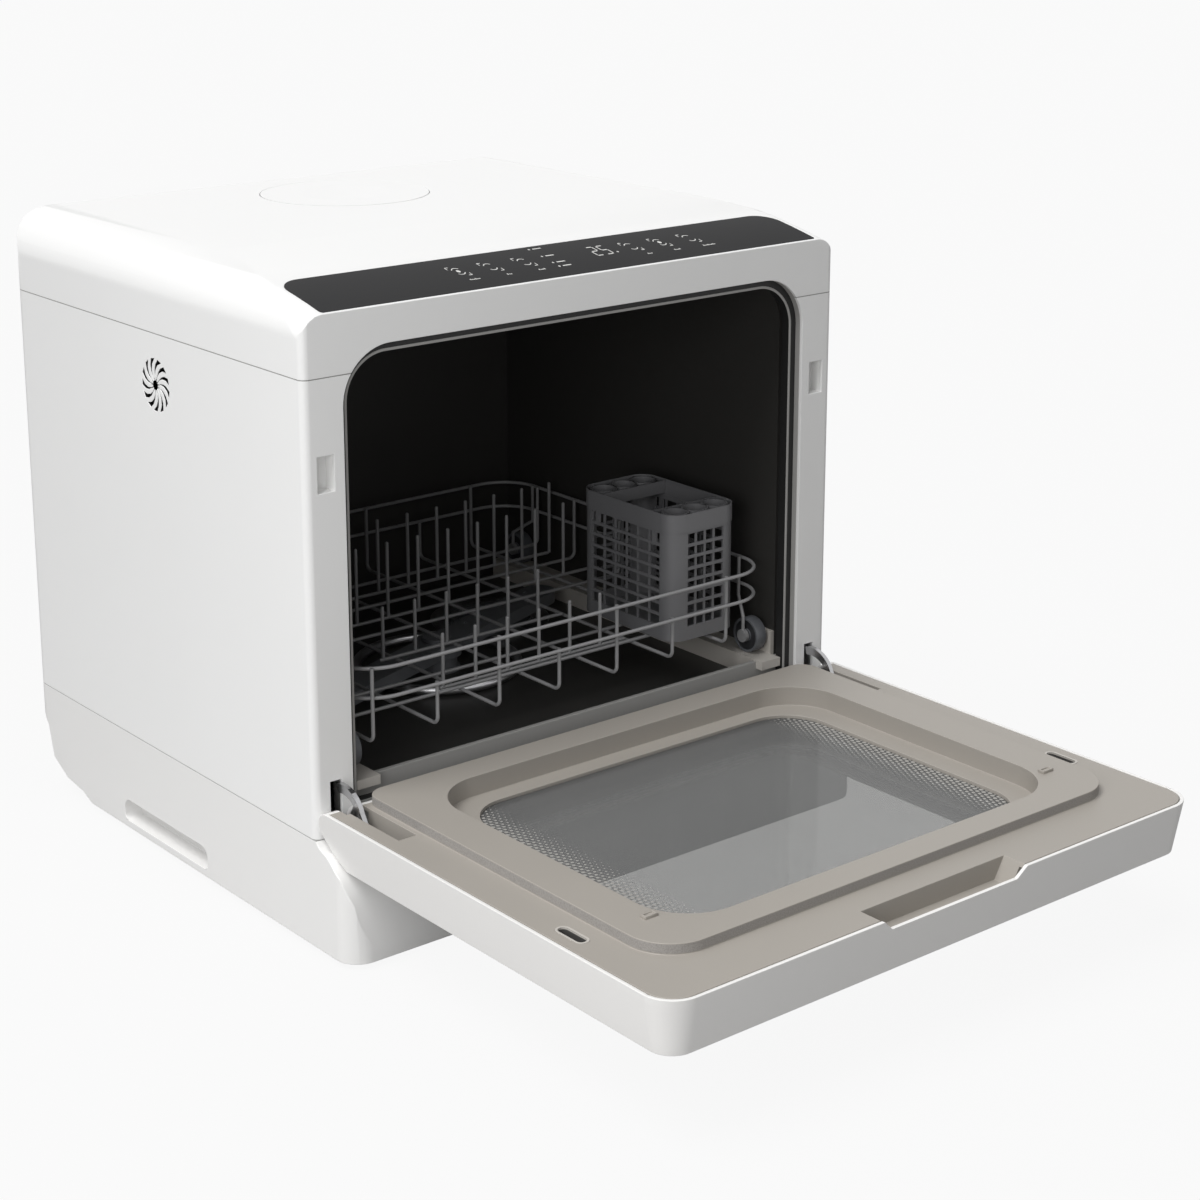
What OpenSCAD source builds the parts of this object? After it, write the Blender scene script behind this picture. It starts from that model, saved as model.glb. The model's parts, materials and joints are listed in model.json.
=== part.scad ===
// Countertop dishwasher with a drop-down glass door, a pull-out wheeled rack and a cutlery basket.
// Millimetres, +Z up. The origin is on the floor, under the middle of the open machine.
// The door is drawn open and the rack home. Lengths along Y are counted from the front face.

/* [Cabinet] */
// Width over the side walls
body_w = 420; // [412:1:440]
// Depth from the front face to the rear face
body_d = 362; // [360:1:380]
// Height of the base tray above the feet
base_h = 70; // [68:1:80]
// Height of the side walls between the two seams
shell_h = 281; // [276:1:300]
// Height of the header's front above the upper seam
header_h = 37; // [35:1:42]
// Rise of the crown behind the header's front edge
crown_rise = 18; // [14:1:22]
// Distance over which the crown rises
crown_run = 130; // [110:1:150]
// Thickness of the casing walls
wall_t = 2.5; // [2:0.1:3]
// Radius of the left and right top edges
shoulder_r = 32; // [24:1:38]
// Radius of the top cover's corners at the front face
head_corner_r = 15; // [12:0.5:15]
// Radius of the front upright edges
front_edge_r = 5; // [3:0.5:8]
// Radius of the rear upright edges
rear_edge_r = 14; // [8:1:18]
// How far the toe runs out in front of the front face
toe_run = 35; // [30:1:40]
// Height of a foot under the base
foot_h = 4; // [3:0.5:6]
// Diameter of a foot
foot_d = 22; // [18:1:30]

/* [Mouth] */
// Width of the front face beside the mouth
jamb_w = 27.5; // [25:0.5:32]
// Header left above the mouth, at the front
mouth_gap = 22.5; // [20:0.5:26]
// Radius of the mouth's top corners
mouth_r = 34; // [26:1:42]
// Depth of the frame between the front face and the tub
mouth_depth = 15; // [13:0.5:18]
// Width of the door gasket
gasket_w = 6; // [4:0.5:8]

/* [Tub] */
// Wall of the tub
tub_t = 1.5; // [1:0.1:2]
// Space between the tub's inside and the mouth's sides
tub_inset = 4.5; // [3:0.5:6]
// Space behind the tub's inside
tub_rear = 40.5; // [39.5:0.5:42]
// Height of the tub's floor over the lower seam
tub_floor_h = 14; // [12:0.5:16]
// Height of the runners' top over the tub's floor
runner_h = 13; // [12:0.5:15]

/* [Control strip] */
// Distance of the glass strip's ends from the side walls' outer faces
strip_side = 15.5; // [13:0.5:30]
// Depth of the glass strip
strip_d = 50; // [44:1:54]
// Thickness of the glass strip
strip_t = 1.2; // [1:0.1:2]

/* [Fill lid] */
// Diameter of the lid
lid_d = 117; // [100:1:124]
// Distance of its centre from the rear face
lid_rear = 91; // [84:1:100]
// Depth of the funnel's bowl
funnel_h = 28; // [22:1:30]

/* [Vent] */
// Diameter of the ring of slots
vent_d = 34; // [30:1:38]
// Distance of its centre behind the front face
vent_y = 170; // [150:1:190]
// Height of its centre over the lower seam
vent_h = 248; // [230:1:255]
// Number of slots
vent_slots = 13; // [9:1:15]

/* [Door] */
// Thickness of the door from its rim to its outer face
door_t = 33.5; // [32:0.5:36]
// Height of the open door's rim over the lower seam
rim_h = 20.5; // [20:0.5:22]
// Wall of the outer panel
panel_t = 2.5; // [2:0.1:3]
// How far the sides and the free end lean in
door_taper = 5.5; // [3:0.5:7]
// Radius of the free corners
door_corner_r = 20; // [14:1:24]
// Height of the liner's raised frame over the rim
frame_h = 6.5; // [5:0.5:7]
// Gap between the raised frame and the mouth's side when the door is shut
frame_clear = 1.5; // [1:0.5:7]
// Thickness of each window glass
glass_t = 3; // [2:0.5:4]
// Width of the window
window_w = 272; // [240:1:280]
// Width of the handle's recess
handle_w = 116; // [90:1:130]
// Depth of the handle's recess from the free edge
handle_d = 18; // [15:1:22]
// Gap between the closed door and the front face
door_gap = 0.5; // [0.4:0.1:1]
// Height of the latch pockets' middle over the lower seam
latch_h = 224; // [200:1:240]

/* [Hinges] */
// Distance of a hinge blade's inner face from the side wall's outer face
blade_side = 18.5; // [18:0.5:20]
// Thickness of a hinge blade
blade_t = 3; // [2.5:0.5:3.5]
// Radius of a hinge pin
pin_r = 3; // [2.5:0.25:3.5]
// Radial clearance of the blade's eye on its pin
pin_gap = 0.05; // [0.02:0.01:0.09]

/* [Rack] */
// Distance between the rack's side wires and the tub's sides
rack_side = 8; // [7:0.5:13]
// Distance between the rack's rear wire and the tub's rear
rack_rear = 13.5; // [12.5:0.5:19]
// Distance of the rack's front wire behind the front face, pushed home
rack_home = 12; // [11:0.5:13]
// Diameter of the wire
wire_d = 2.4; // [2:0.1:3]
// Height of the lower rail over the runners
rail_low = 46; // [42:1:50]
// Height of the upper rail over the runners
rail_high = 65; // [60:1:70]
// Height of the left side's extra rail over the runners
rail_cup = 93; // [86:1:98]
// Radius of the rails' corners
rail_r = 30; // [22:1:36]
// Diameter of a wheel
wheel_d = 24.4; // [22:0.2:25]
// Width of a wheel
wheel_w = 9; // [7:0.5:10]
// Radius of a wheel's axle
axle_r = 2.5; // [2:0.25:3]
// Radial clearance of a wheel on its axle
axle_gap = 0.05; // [0.02:0.01:0.09]
// Height of the cross wires over the runners
floor_h = 21; // [19:0.5:24]
// Distance of the first long floor wire from the rack's left side
long_left = 12; // [10:1:16]
// Distance of the last long floor wire from the rack's right side
long_right = 40; // [34:1:44]
// Distance between tines
tine_pitch = 26; // [22:1:30]
// Height of the bowl tines over the floor wires
bowl_tine_h = 36; // [26:1:46]
// Height of the plate tines over the floor wires
plate_tine_h = 54; // [44:1:62]

/* [Cutlery basket] */
// Width of the basket, across the machine
basket_w = 60; // [54:1:64]
// Length of the basket, front to back
basket_d = 100; // [90:1:106]
// Height of the basket
basket_h = 89; // [80:1:94]
// Wall of the basket
basket_t = 2; // [1.6:0.1:2.4]
// Radius of its upright corners
basket_r = 12; // [8:1:14]
// Distance of the basket from the rack's right side
basket_side = 18; // [16:1:22]
// Distance of its front behind the rack's front wire
basket_y = 14; // [10:1:18]
// Radius of a holder ring's hole
ring_r = 8; // [6:0.5:8.5]

/* [Wash parts] */
// Mean radius of the heater's loop
heater_r = 56; // [48:1:58]
// Length of the spray arm
arm_l = 290; // [240:1:300]
// Width of the spray arm
arm_w = 34; // [26:1:38]
// Thickness of the spray arm
arm_t = 9; // [7:0.5:10]
// Radius of the spray arm's bearing pin
hub_pin_r = 5; // [4:0.5:6]
// Radial clearance of the spray arm on that pin
hub_gap = 0.06; // [0.03:0.01:0.09]
// Radius of the sump, inside
sump_r = 34; // [30:1:36]
// Radius of the filter cup
filter_r = 26; // [22:1:28]
// Depth of the water tank, front to back
tank_d = 26; // [22:1:28]
// Diameter of the drying fan's rotor
rotor_d = 36; // [30:1:40]

/* [Connections] */
// Outer radius of the water inlet's thread
inlet_r = 13.2; // [12:0.1:14]
// Outer radius of the drain spigot
spigot_r = 9; // [8:0.5:10]
// Length of both connections behind the base
nozzle_l = 16; // [14:1:18]

/* [Hidden] */
$fn = 48;

white = [0.95, 0.95, 0.95];
warm_grey = [0.71, 0.69, 0.66];
mid_grey = [0.55, 0.55, 0.56];
dark_grey = [0.4, 0.4, 0.42];
black = [0.08, 0.08, 0.08];
steel = [0.8, 0.8, 0.82];
copper_green = [0.1, 0.35, 0.2];
clear = [0.7, 0.75, 0.78, 0.4];

eps = 0.01;
cut = 1;
z_base = foot_h;
z_low = z_base + base_h;
z_high = z_low + shell_h;
z_head = z_high + header_h;
z_top = z_head + crown_rise;
crown_tip = 1.8;
crown_r = (crown_run * crown_run + crown_rise * crown_rise)
    / (2 * (crown_rise * cos(crown_tip) - crown_run * sin(crown_tip)));
crown_c = [crown_run + crown_r * sin(crown_tip), z_top - crown_r * cos(crown_tip)];
half_w = body_w / 2;
mouth_w = body_w - 2 * jamb_w;
frame_w = mouth_w - 2 * frame_clear;
strip_w = body_w - 2 * strip_side;
blade_x = half_w - blade_side;
lid_y = body_d - lid_rear;
tub_d = body_d - tub_rear - wall_t - mouth_depth;
z_mouth = z_head - mouth_gap;
z_tub = z_low + tub_floor_h;
z_run = z_tub + runner_h;
z_rim = z_low + rim_h;
z_frame = z_rim + frame_h;
z_outer = z_rim - door_t;

// The closed door's rim meets the front face, and its free edge meets the header's top edge.
// Its hinge end keeps end_gap off the front face when open and reaches shut_drop below the seam.
end_gap = 0.5;
shut_drop = 1.5;
pivot_y = (z_low - shut_drop - z_rim - door_gap - end_gap) / 2;
pivot_z = pivot_y + z_rim + door_gap;
door_reach = z_head - pivot_z - pivot_y;
front_y = (door_reach - body_d) / 2;

// Moves a child from the front face's own frame to the part's frame
module front() {
    translate([0, front_y, 0]) children();
}

// Extrudes a YZ outline between two places along X
module along_x(x0, x1) {
    translate([x0, 0, 0]) rotate([90, 0, 90]) linear_extrude(x1 - x0) children();
}

// Extrudes an XZ outline between two places along Y
module along_y(y0, y1) {
    translate([0, y1, 0]) rotate([90, 0, 0]) linear_extrude(y1 - y0) children();
}

// Draws its child on both sides
module both_sides() {
    children();
    mirror([1, 0, 0]) children();
}

module box(low, high) {
    translate(low) cube(high - low);
}

// A rectangle with one radius at its low-y corners and another at its high-y corners
module rounded(low, high, r_low, r_high) {
    translate([low.x, low.y + r_low]) square([high.x - low.x, high.y - low.y - r_low - r_high]);
    translate([low.x + r_low, low.y]) square([high.x - low.x - 2 * r_low, r_low + eps]);
    translate([low.x + r_high, high.y - r_high - eps]) square([high.x - low.x - 2 * r_high, r_high + eps]);
    for (x = [low.x + r_low, high.x - r_low]) translate([x, low.y + r_low]) circle(r_low);
    for (x = [low.x + r_high, high.x - r_high]) translate([x, high.y - r_high]) circle(r_high);
}

module plan(inset) {
    rounded([inset - half_w, inset], [half_w - inset, body_d - inset],
        max(front_edge_r - inset, 0.5), max(rear_edge_r - inset, 0.5));
}

// The mouth's outline, from below the lower seam up, drawn in by an inset
module mouth(inset) {
    x = mouth_w / 2 - inset;
    r = mouth_r - inset;
    translate([-x, z_low - cut]) square([2 * x, z_mouth - inset - r - z_low + cut]);
    translate([-(x - r), z_mouth - inset - r - eps]) square([2 * (x - r), r + eps]);
    for (side = [-1, 1]) translate([side * (x - r), z_mouth - inset - r]) circle(r, $fn = 96);
}

// A straight wire or pipe between two points
module rod(a, b, r) {
    run = b - a;
    translate(a) rotate([0, acos(run.z / norm(run)), atan2(run.y, run.x)])
        cylinder(r = r, h = norm(run), $fn = 24);
}

// A wire or pipe along a list of points, with a ball in each bend
module pipe(points, r) {
    for (i = [1 : len(points) - 1]) rod(points[i - 1], points[i], r);
    for (i = [1 : len(points) - 2]) translate(points[i]) sphere(r * 1.03, $fn = 24);
}

// A hose along a list of points with square turns, each rounded to the same bend
hose_bend = 12;
module bent_hose(points, r) {
    last = len(points) - 1;
    runs = [for (i = [1 : last]) (points[i] - points[i - 1]) / norm(points[i] - points[i - 1])];
    for (i = [1 : last])
        rod(points[i - 1] + (i > 1 ? hose_bend : 0) * runs[i - 1],
            points[i] - (i < last ? hose_bend : 0) * runs[i - 1], r);
    for (i = [1 : last - 1]) {
        a = runs[i - 1];
        b = runs[i];
        n = cross(a, b);
        c = points[i] + hose_bend * (b - a);
        multmatrix([[-b.x, a.x, n.x, c.x], [-b.y, a.y, n.y, c.y], [-b.z, a.z, n.z, c.z], [0, 0, 0, 1]])
            rotate_extrude(angle = 90) translate([hose_bend, 0]) circle(r, $fn = 24);
    }
}

// ---- Casing ----

// One slot of the vent: a curved wedge that leans as it goes out
vent_hub_r = 2.6;
function vent_edge(spread) = [for (k = [0 : 4])
    let (r = vent_hub_r + (vent_d / 2 - vent_hub_r) * k / 4, a = spread * k / 4 + 26 * k * k / 16)
    [r * cos(a), r * sin(a)]];

module vent_cut() {
    half_slot = 180 / vent_slots * 0.55;
    inner = vent_edge(-half_slot);
    outer = vent_edge(half_slot);
    for (i = [0 : vent_slots - 1]) rotate(i * 360 / vent_slots)
        polygon(concat(inner, [for (k = [4 : -1 : 0]) outer[k]]));
    circle(1);
}

// A side wall with its front jamb and its rear return, on the right
jamb_reach = 42;
return_w = 26;
slot_h = 35;
pocket_x = half_w - 14.5;
pocket_z = z_low + latch_h;
pocket_w = 12;
pocket_h = 22;
blade_clear = 0.8;
ear_gap = 0.5;
ear_t = 3;
ear_x = blade_x + blade_t + ear_gap;

module side_wall() {
    difference() {
        translate([0, 0, z_low]) linear_extrude(shell_h) difference() {
            plan(0);
            plan(wall_t);
            translate([-half_w - cut, -cut]) square([2 * half_w + cut - jamb_reach, wall_t + 2 * cut]);
            translate([-half_w - cut, body_d - wall_t - cut])
                square([2 * half_w + cut - return_w, wall_t + 2 * cut]);
            translate([-half_w - cut, -cut]) square([half_w, body_d + 2 * cut]);
        }
        along_y(-cut, wall_t + cut) mouth(0);
        translate([pocket_x - pocket_w / 2, -cut, pocket_z - pocket_h / 2])
            cube([pocket_w, wall_t + 2 * cut, pocket_h]);
        box([blade_x - blade_clear, -cut, z_low - cut],
            [ear_x + ear_t + blade_clear, wall_t + cut, z_low + slot_h]);
        at_rear_screws() {
            translate([0, 0, -cut]) cylinder(r = 3.4, h = cut + 0.8);
            cylinder(r = screw_r, h = 10);
        }
    }
}

module left_side() color(white) front() difference() {
    mirror([1, 0, 0]) side_wall();
    translate([-half_w - cut, vent_y, z_low + vent_h]) rotate([90, 0, 90])
        linear_extrude(wall_t + 2 * cut) vent_cut();
}

module right_side() color(white) front() side_wall();

// The top cover's YZ outline: the crown's arc runs into the flat top, the rear edge is rounded
module cover_side(inset, floor_z) {
    y1 = body_d - inset;
    z1 = z_top - inset;
    intersection() {
        union() {
            translate(crown_c) circle(crown_r - inset, $fn = 720);
            translate([crown_c.x, floor_z]) square([y1 - crown_c.x, z1 + cut - floor_z]);
        }
        union() {
            translate([inset, floor_z]) square([y1 - inset - back_r, z1 - floor_z]);
            translate([inset, floor_z]) square([y1 - inset, z1 - back_r - floor_z]);
            translate([y1 - back_r, z1 - back_r]) circle(back_r);
        }
    }
}

back_r = 10;

// A body turned about the crown's own axis, so that the rounded corners follow the arc to the front face
module crown_body(inset) {
    r = head_corner_r - inset;
    x1 = half_w - inset;
    out = crown_r - inset;
    translate([0, crown_c.x, crown_c.y]) rotate([0, 90, 0]) rotate_extrude($fn = 720) {
        translate([0, -x1]) square([out - r, 2 * x1]);
        translate([0, r - x1]) square([out, 2 * (x1 - r)]);
        for (side = [-1, 1]) translate([out - r, side * (x1 - r)]) circle(r, $fn = 96);
    }
    box([-half_w - cut, crown_run + 5, z_high - cut], [half_w + cut, body_d + cut, z_top + cut]);
}

module cover_form() {
    r = shoulder_r;
    intersection() {
        along_x(-half_w, half_w) cover_side(0, z_high);
        crown_body(0);
        along_y(0, body_d) union() {
            translate([-half_w, z_high]) square([body_w, z_top - r - z_high]);
            translate([-(half_w - r), z_high]) square([body_w - 2 * r, z_top - z_high]);
            for (side = [-1, 1]) translate([side * (half_w - r), z_top - r]) circle(r, $fn = 96);
        }
        translate([0, 0, z_high]) linear_extrude(z_top - z_high) plan(0);
    }
}

// The hollow inside the top cover, with chamfers along its shoulders
module cover_hollow() {
    x1 = half_w - wall_t;
    z1 = z_top - wall_t;
    r = shoulder_r - wall_t;
    c = r * (1 - cos(45));
    z0 = z_high - cut;
    intersection() {
        along_x(-half_w, half_w) cover_side(wall_t, z0);
        crown_body(wall_t);
        along_y(0, body_d) polygon([[-x1, z0], [-x1, z1 - r], [c - x1, z1 - c], [r - x1, z1],
            [x1 - r, z1], [x1 - c, z1 - c], [x1, z1 - r], [x1, z0]]);
        translate([0, 0, z0]) linear_extrude(z_top - z0) plan(wall_t);
    }
}

lid_gap = 0.5;
lid_r = lid_d / 2;

strip_lip = 2;

// The layer of the crown that the control glass fills, up to a height over the casing
module strip_layer(over) {
    intersection() {
        translate([0, 0, z_high]) linear_extrude(z_top - z_high + cut)
            rounded([-strip_w / 2, strip_lip], [strip_w / 2, strip_lip + strip_d], 2, 16);
        along_x(-half_w, half_w) difference() {
            translate(crown_c) circle(crown_r + over, $fn = 720);
            translate(crown_c) circle(crown_r - strip_t, $fn = 720);
        }
    }
}

module top_cover() color(white) front() difference() {
    cover_form();
    cover_hollow();
    along_y(-cut, wall_t + cut) mouth(0);
    translate([0, lid_y, z_top - wall_t - cut])
        cylinder(r = lid_r + lid_gap, h = wall_t + 2 * cut, $fn = 96);
    strip_layer(cut);
}

module control_glass() color(black) front() strip_layer(0);

board_w = strip_w - 89;
board_d = 30;
board_t = 1.6;
board_post_h = 10;

module control_board() color(copper_green) front() {
    y0 = tub_y0 + 6;
    z0 = z_mouth - tub_inset + tub_t;
    for (x = [-board_w / 2 + 8, board_w / 2 - 8])
        box([x - 3, y0, z0], [x + 3, y0 + board_d, z0 + board_post_h]);
    box([-board_w / 2, y0, z0 + board_post_h], [board_w / 2, y0 + board_d, z0 + board_post_h + board_t]);
    box([-22, y0 + 4, z0 + board_post_h + board_t], [22, y0 + board_d - 8, z0 + board_post_h + board_t + 5]);
}

rear_t = 2;
module rear_panel() color(white) front() difference() {
    box([rear_edge_r - half_w, body_d - wall_t - rear_t, z_low],
        [half_w - rear_edge_r, body_d - wall_t, z_high]);
    at_rear_screws() cylinder(r = screw_r, h = 10);
    // air slots
    for (row = [0 : 5]) for (side = [-1, 1])
        box([side * 90 - 40, body_d - 10, z_low + 20 + row * 8],
            [side * 90 + 40, body_d, z_low + 23 + row * 8]);
}

screw_r = 1.9;
screw_x = half_w - 20;
module at_rear_screws() {
    for (x = [-screw_x, screw_x]) for (z = [z_low + 30, z_high - 30])
        translate([x, body_d, z]) rotate([90, 0, 0]) children();
}

module rear_screws() color(steel) front() at_rear_screws() {
    translate([0, 0, 0.4]) cylinder(r = screw_r, h = 8);
    difference() {
        cylinder(r = 3.4, h = 0.8);
        translate([-2.6, -0.4, -cut]) cube([5.2, 0.8, cut + 0.4]);
        translate([-0.4, -2.6, -cut]) cube([0.8, 5.2, cut + 0.4]);
    }
}

// ---- Base ----

// Outline of the base in YZ. The sweep under the door keeps clear of the door's turning end.
sweep_r = 15.4;
module base_profile() {
    difference() {
        polygon([[0, z_low], [pivot_y - 2, z_low - 8], [-24, z_low - 17], [4 - toe_run, z_low - 32],
            [-toe_run, z_base + 10], [-toe_run, z_base], [body_d - 75, z_base], [body_d - 62, z_base + 5],
            [body_d - 40, z_base + 8], [body_d - 21, z_base + 18], [body_d - 15, z_base + 40],
            [body_d - 5, z_base + 52], [body_d, z_base + 61], [body_d, z_low]]);
        translate([pivot_y, pivot_z]) circle(sweep_r);
    }
}

base_t = 3;
base_floor = z_base + base_t;
scoop_y0 = 131;
scoop_y1 = 239;
scoop_h = 20;
scoop_d = 13;
module base_cavity() {
    difference() {
        along_x(base_t - half_w, half_w - base_t)
            polygon([[base_t, z_low + cut], [base_t, z_low - 13],
                [pivot_y - 2, z_low - 16], [-21, z_low - 22],
                [4 - toe_run + base_t, z_low - 34], [base_t - toe_run, z_base + 10],
                [base_t - toe_run, base_floor], [body_d - 79, base_floor], [body_d - 63, z_base + 9],
                [body_d - 41, z_base + 12], [body_d - 25, z_base + 20.5], [body_d - 18.5, z_base + 41.5],
                [body_d - 8.5, z_base + 53.5], [body_d - base_t, z_base + 62],
                [body_d - base_t, z_low + cut]]);
        both_sides() box([half_w - scoop_d - base_t, scoop_y0 - base_t, z_base],
            [half_w, scoop_y1 + base_t, z_base + scoop_h + base_t]);
    }
}

toe_r = 16;
module base_plan(inset) {
    translate([0, 0, z_base]) linear_extrude(base_h + inset)
        rounded([inset - half_w, inset - toe_run], [half_w - inset, body_d - inset],
            toe_r - inset, rear_edge_r - inset);
}

module base_tray() color(white) front() difference() {
    intersection() {
        along_x(-half_w, half_w) base_profile();
        base_plan(0);
    }
    intersection() {
        base_cavity();
        base_plan(base_t);
    }
    both_sides() along_x(half_w - scoop_d, half_w + cut)
        rounded([scoop_y0, z_base + 5], [scoop_y1, z_base + scoop_h], 4, 7);
    for (hole = [[inlet_x, nozzle_z, inlet_r - 3], [spigot_x, nozzle_z, spigot_r + 1.5],
            [gland_x, gland_z, gland_r]])
        translate([hole.x, nozzle_y0 - 20, hole.y]) rotate([-90, 0, 0]) cylinder(r = hole.z, h = 40);
}

foot_x = half_w - 38;
foot_front = 6;
foot_rear = body_d - 96;
module feet() color(dark_grey) front() for (x = [-foot_x, foot_x]) for (y = [foot_front, foot_rear])
    translate([x, y, 0]) {
        cylinder(r1 = foot_d / 2 - 1, r2 = foot_d / 2, h = 1);
        translate([0, 0, 1]) cylinder(r = foot_d / 2, h = foot_h - 1);
    }

// ---- Mouth and tub ----

mouth_lip_t = 3;
gasket_y = frame_h - door_gap + 0.6;
gasket_d = 7;
sill_y = gasket_y + gasket_d;
z_sill = z_run - 1;
z_seal = z_low + 8;
module mouth_frame() color(warm_grey) front() {
    along_y(wall_t, wall_t + mouth_depth) difference() {
        mouth(-mouth_lip_t);
        mouth(0);
        translate([-half_w, z_low - 2 * cut]) square([body_w, 2 * cut]);
    }
    box([-mouth_w / 2, sill_y, z_low], [mouth_w / 2, wall_t + mouth_depth, z_sill]);
}

module tub_gasket() color(black) front() along_y(gasket_y, sill_y) difference() {
    mouth(0);
    difference() {
        mouth(gasket_w);
        translate([-half_w, z_low - 2 * cut]) square([body_w, z_seal + gasket_w - z_low + 2 * cut]);
    }
    translate([-half_w, z_low - 2 * cut]) square([body_w, z_seal - z_low + 2 * cut]);
}

tub_y0 = wall_t + mouth_depth;
tub_y1 = tub_y0 + tub_d;
tub_x = mouth_w / 2 - tub_inset;
hub_y = tub_y0 + tub_d / 2;
sump_x = 92;
sump_y = hub_y + 62;
module tub_section(grow) {
    x = tub_x + grow;
    r_top = mouth_r - tub_inset + grow;
    rounded([-x, z_tub - grow], [x, z_mouth - tub_inset + grow], 8 + grow, r_top);
}

heater_tube_r = 3.5;
heater_x = heater_r * cos(asin(8 / heater_r));
module tub() color(mid_grey) front() difference() {
    union() {
        along_y(tub_y0, tub_y1 + tub_t) tub_section(tub_t);
        along_y(tub_y0, tub_y0 + tub_t) tub_section(tub_inset);
    }
    along_y(tub_y0 - cut, tub_y1) tub_section(0);
    translate([sump_x, sump_y, z_tub - 2 * tub_t]) cylinder(r = sump_r, h = 4 * tub_t);
    translate([0, hub_y, z_tub - 2 * tub_t]) cylinder(r = hub_base_r - 4, h = 4 * tub_t);
    for (dy = [-8, 8]) translate([-heater_x, hub_y + dy, z_tub - 2 * tub_t])
        cylinder(r = heater_tube_r + 0.3, h = 4 * tub_t);
}

runner_w = 20;
tongue_y = frame_h - door_gap + 1.5;
tongue_w = 17;
guide_t = 3;
module tub_runners() color(mid_grey) front() both_sides() {
    x0 = tub_x - runner_w;
    box([x0, tongue_y, z_run - 6], [x0 + tongue_w, sill_y, z_run]);
    box([x0, tongue_y, z_sill], [x0 + tongue_w, tub_y0 + 4, z_run]);
    box([x0, tub_y0, z_run - 3], [tub_x, tub_y1 - 6, z_run]);
    box([x0, tub_y0, z_tub], [x0 + 2, tub_y1 - 6, z_run]);
    box([tub_x - guide_t, tub_y0, z_run], [tub_x, tub_y0 + 30, z_run + 16]);
}

// ---- Water path ----

funnel_r = lid_r - 3.5;
funnel_t = 2;
z_ledge = z_top - wall_t;
neck_w = 40;
neck_y = body_d - wall_t - rear_t - tank_d;
spout_r = 8;
module fill_funnel() color(mid_grey) front() {
    difference() {
        union() {
            translate([0, lid_y, z_ledge - funnel_t]) cylinder(r = lid_r + 6, h = funnel_t, $fn = 96);
            translate([0, lid_y, z_ledge - funnel_h])
                cylinder(r = funnel_r + funnel_t, h = funnel_h, $fn = 96);
            translate([0, lid_y, z_ledge - funnel_h + 11]) rotate([-90, 0, 0])
                cylinder(r = spout_r + funnel_t, h = neck_y - lid_y);
        }
        translate([0, lid_y, z_ledge - funnel_h + funnel_t]) cylinder(r = funnel_r, h = funnel_h, $fn = 96);
        translate([0, lid_y, z_ledge - funnel_h + 11]) rotate([-90, 0, 0])
            cylinder(r = spout_r, h = neck_y - lid_y + cut);
    }
}

tank_w = 2 * (screw_x - 15);
tank_h = 238;
tank_t = 2;
z_tank = z_low + 26;
module water_tank() color([0.85, 0.88, 0.9]) front() difference() {
    union() {
        box([-tank_w / 2, neck_y, z_tank], [tank_w / 2, neck_y + tank_d, z_tank + tank_h]);
        box([-neck_w / 2, neck_y, z_tank + tank_h - 1], [neck_w / 2, neck_y + tank_d, z_ledge - 6]);
    }
    box([-tank_w / 2 + tank_t, neck_y + tank_t, z_tank + tank_t],
        [tank_w / 2 - tank_t, neck_y + tank_d - tank_t, z_tank + tank_h - tank_t]);
    box([-neck_w / 2 + tank_t, neck_y + tank_t, z_tank + tank_h - 10],
        [neck_w / 2 - tank_t, neck_y + tank_d - tank_t, z_ledge - 6 - tank_t]);
    translate([0, neck_y - cut, z_ledge - funnel_h + 11]) rotate([-90, 0, 0]) cylinder(r = spout_r, h = 6);
}

sump_t = 2.5;
z_sump = base_floor + 10;
pump_z = z_sump + 26;
pump_x = sump_x - sump_r - 14;
drain_y = sump_y - sump_r - 14;
drain_z = z_sump + 22;
module sump() color(dark_grey) front() {
    difference() {
        union() {
            translate([sump_x, sump_y, z_sump]) cylinder(r = sump_r + sump_t, h = z_tub - tub_t - z_sump);
            translate([sump_x, sump_y, base_floor]) cylinder(r = 14, h = z_sump - base_floor + eps);
            translate([pump_x, sump_y, pump_z]) rotate([0, 90, 0]) cylinder(r = 11, h = sump_x - pump_x);
            translate([sump_x, sump_y, drain_z]) rotate([90, 0, 0]) cylinder(r = 9, h = sump_y - drain_y);
        }
        translate([sump_x, sump_y, z_sump + sump_t]) cylinder(r = sump_r, h = base_h);
        translate([pump_x - cut, sump_y, pump_z]) rotate([0, 90, 0]) cylinder(r = 8, h = sump_x - pump_x);
        translate([sump_x, sump_y, drain_z]) rotate([90, 0, 0]) cylinder(r = 6, h = sump_y - drain_y + cut);
    }
}

filter_gap = 0.5;
plate_t = 1.5;
module filter_plate() color(steel) front() difference() {
    translate([sump_x, sump_y, z_tub]) cylinder(r = sump_r + 10, h = plate_t);
    translate([sump_x, sump_y, z_tub - cut]) cylinder(r = filter_r + filter_gap, h = plate_t + 2 * cut);
    for (a = [15 : 30 : 345]) translate([sump_x, sump_y, z_tub - cut]) rotate(a)
        translate([sump_r - 2, 0, 0]) cylinder(r = 1.6, h = plate_t + 2 * cut);
}

cup_flange_t = 1.4;
module filter_cup() color(mid_grey) front() translate([sump_x, sump_y, 0]) {
    z0 = z_tub + plate_t + 0.3;
    difference() {
        union() {
            translate([0, 0, z0]) cylinder(r = filter_r + 4, h = cup_flange_t);
            translate([0, 0, z_sump + 12]) cylinder(r = filter_r, h = z0 - z_sump - 12 + eps);
        }
        translate([0, 0, z_sump + 14]) cylinder(r = filter_r - 2, h = base_h);
    }
    box([-filter_r, -2, z0], [filter_r, 2, z0 + 4]);
}

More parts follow.
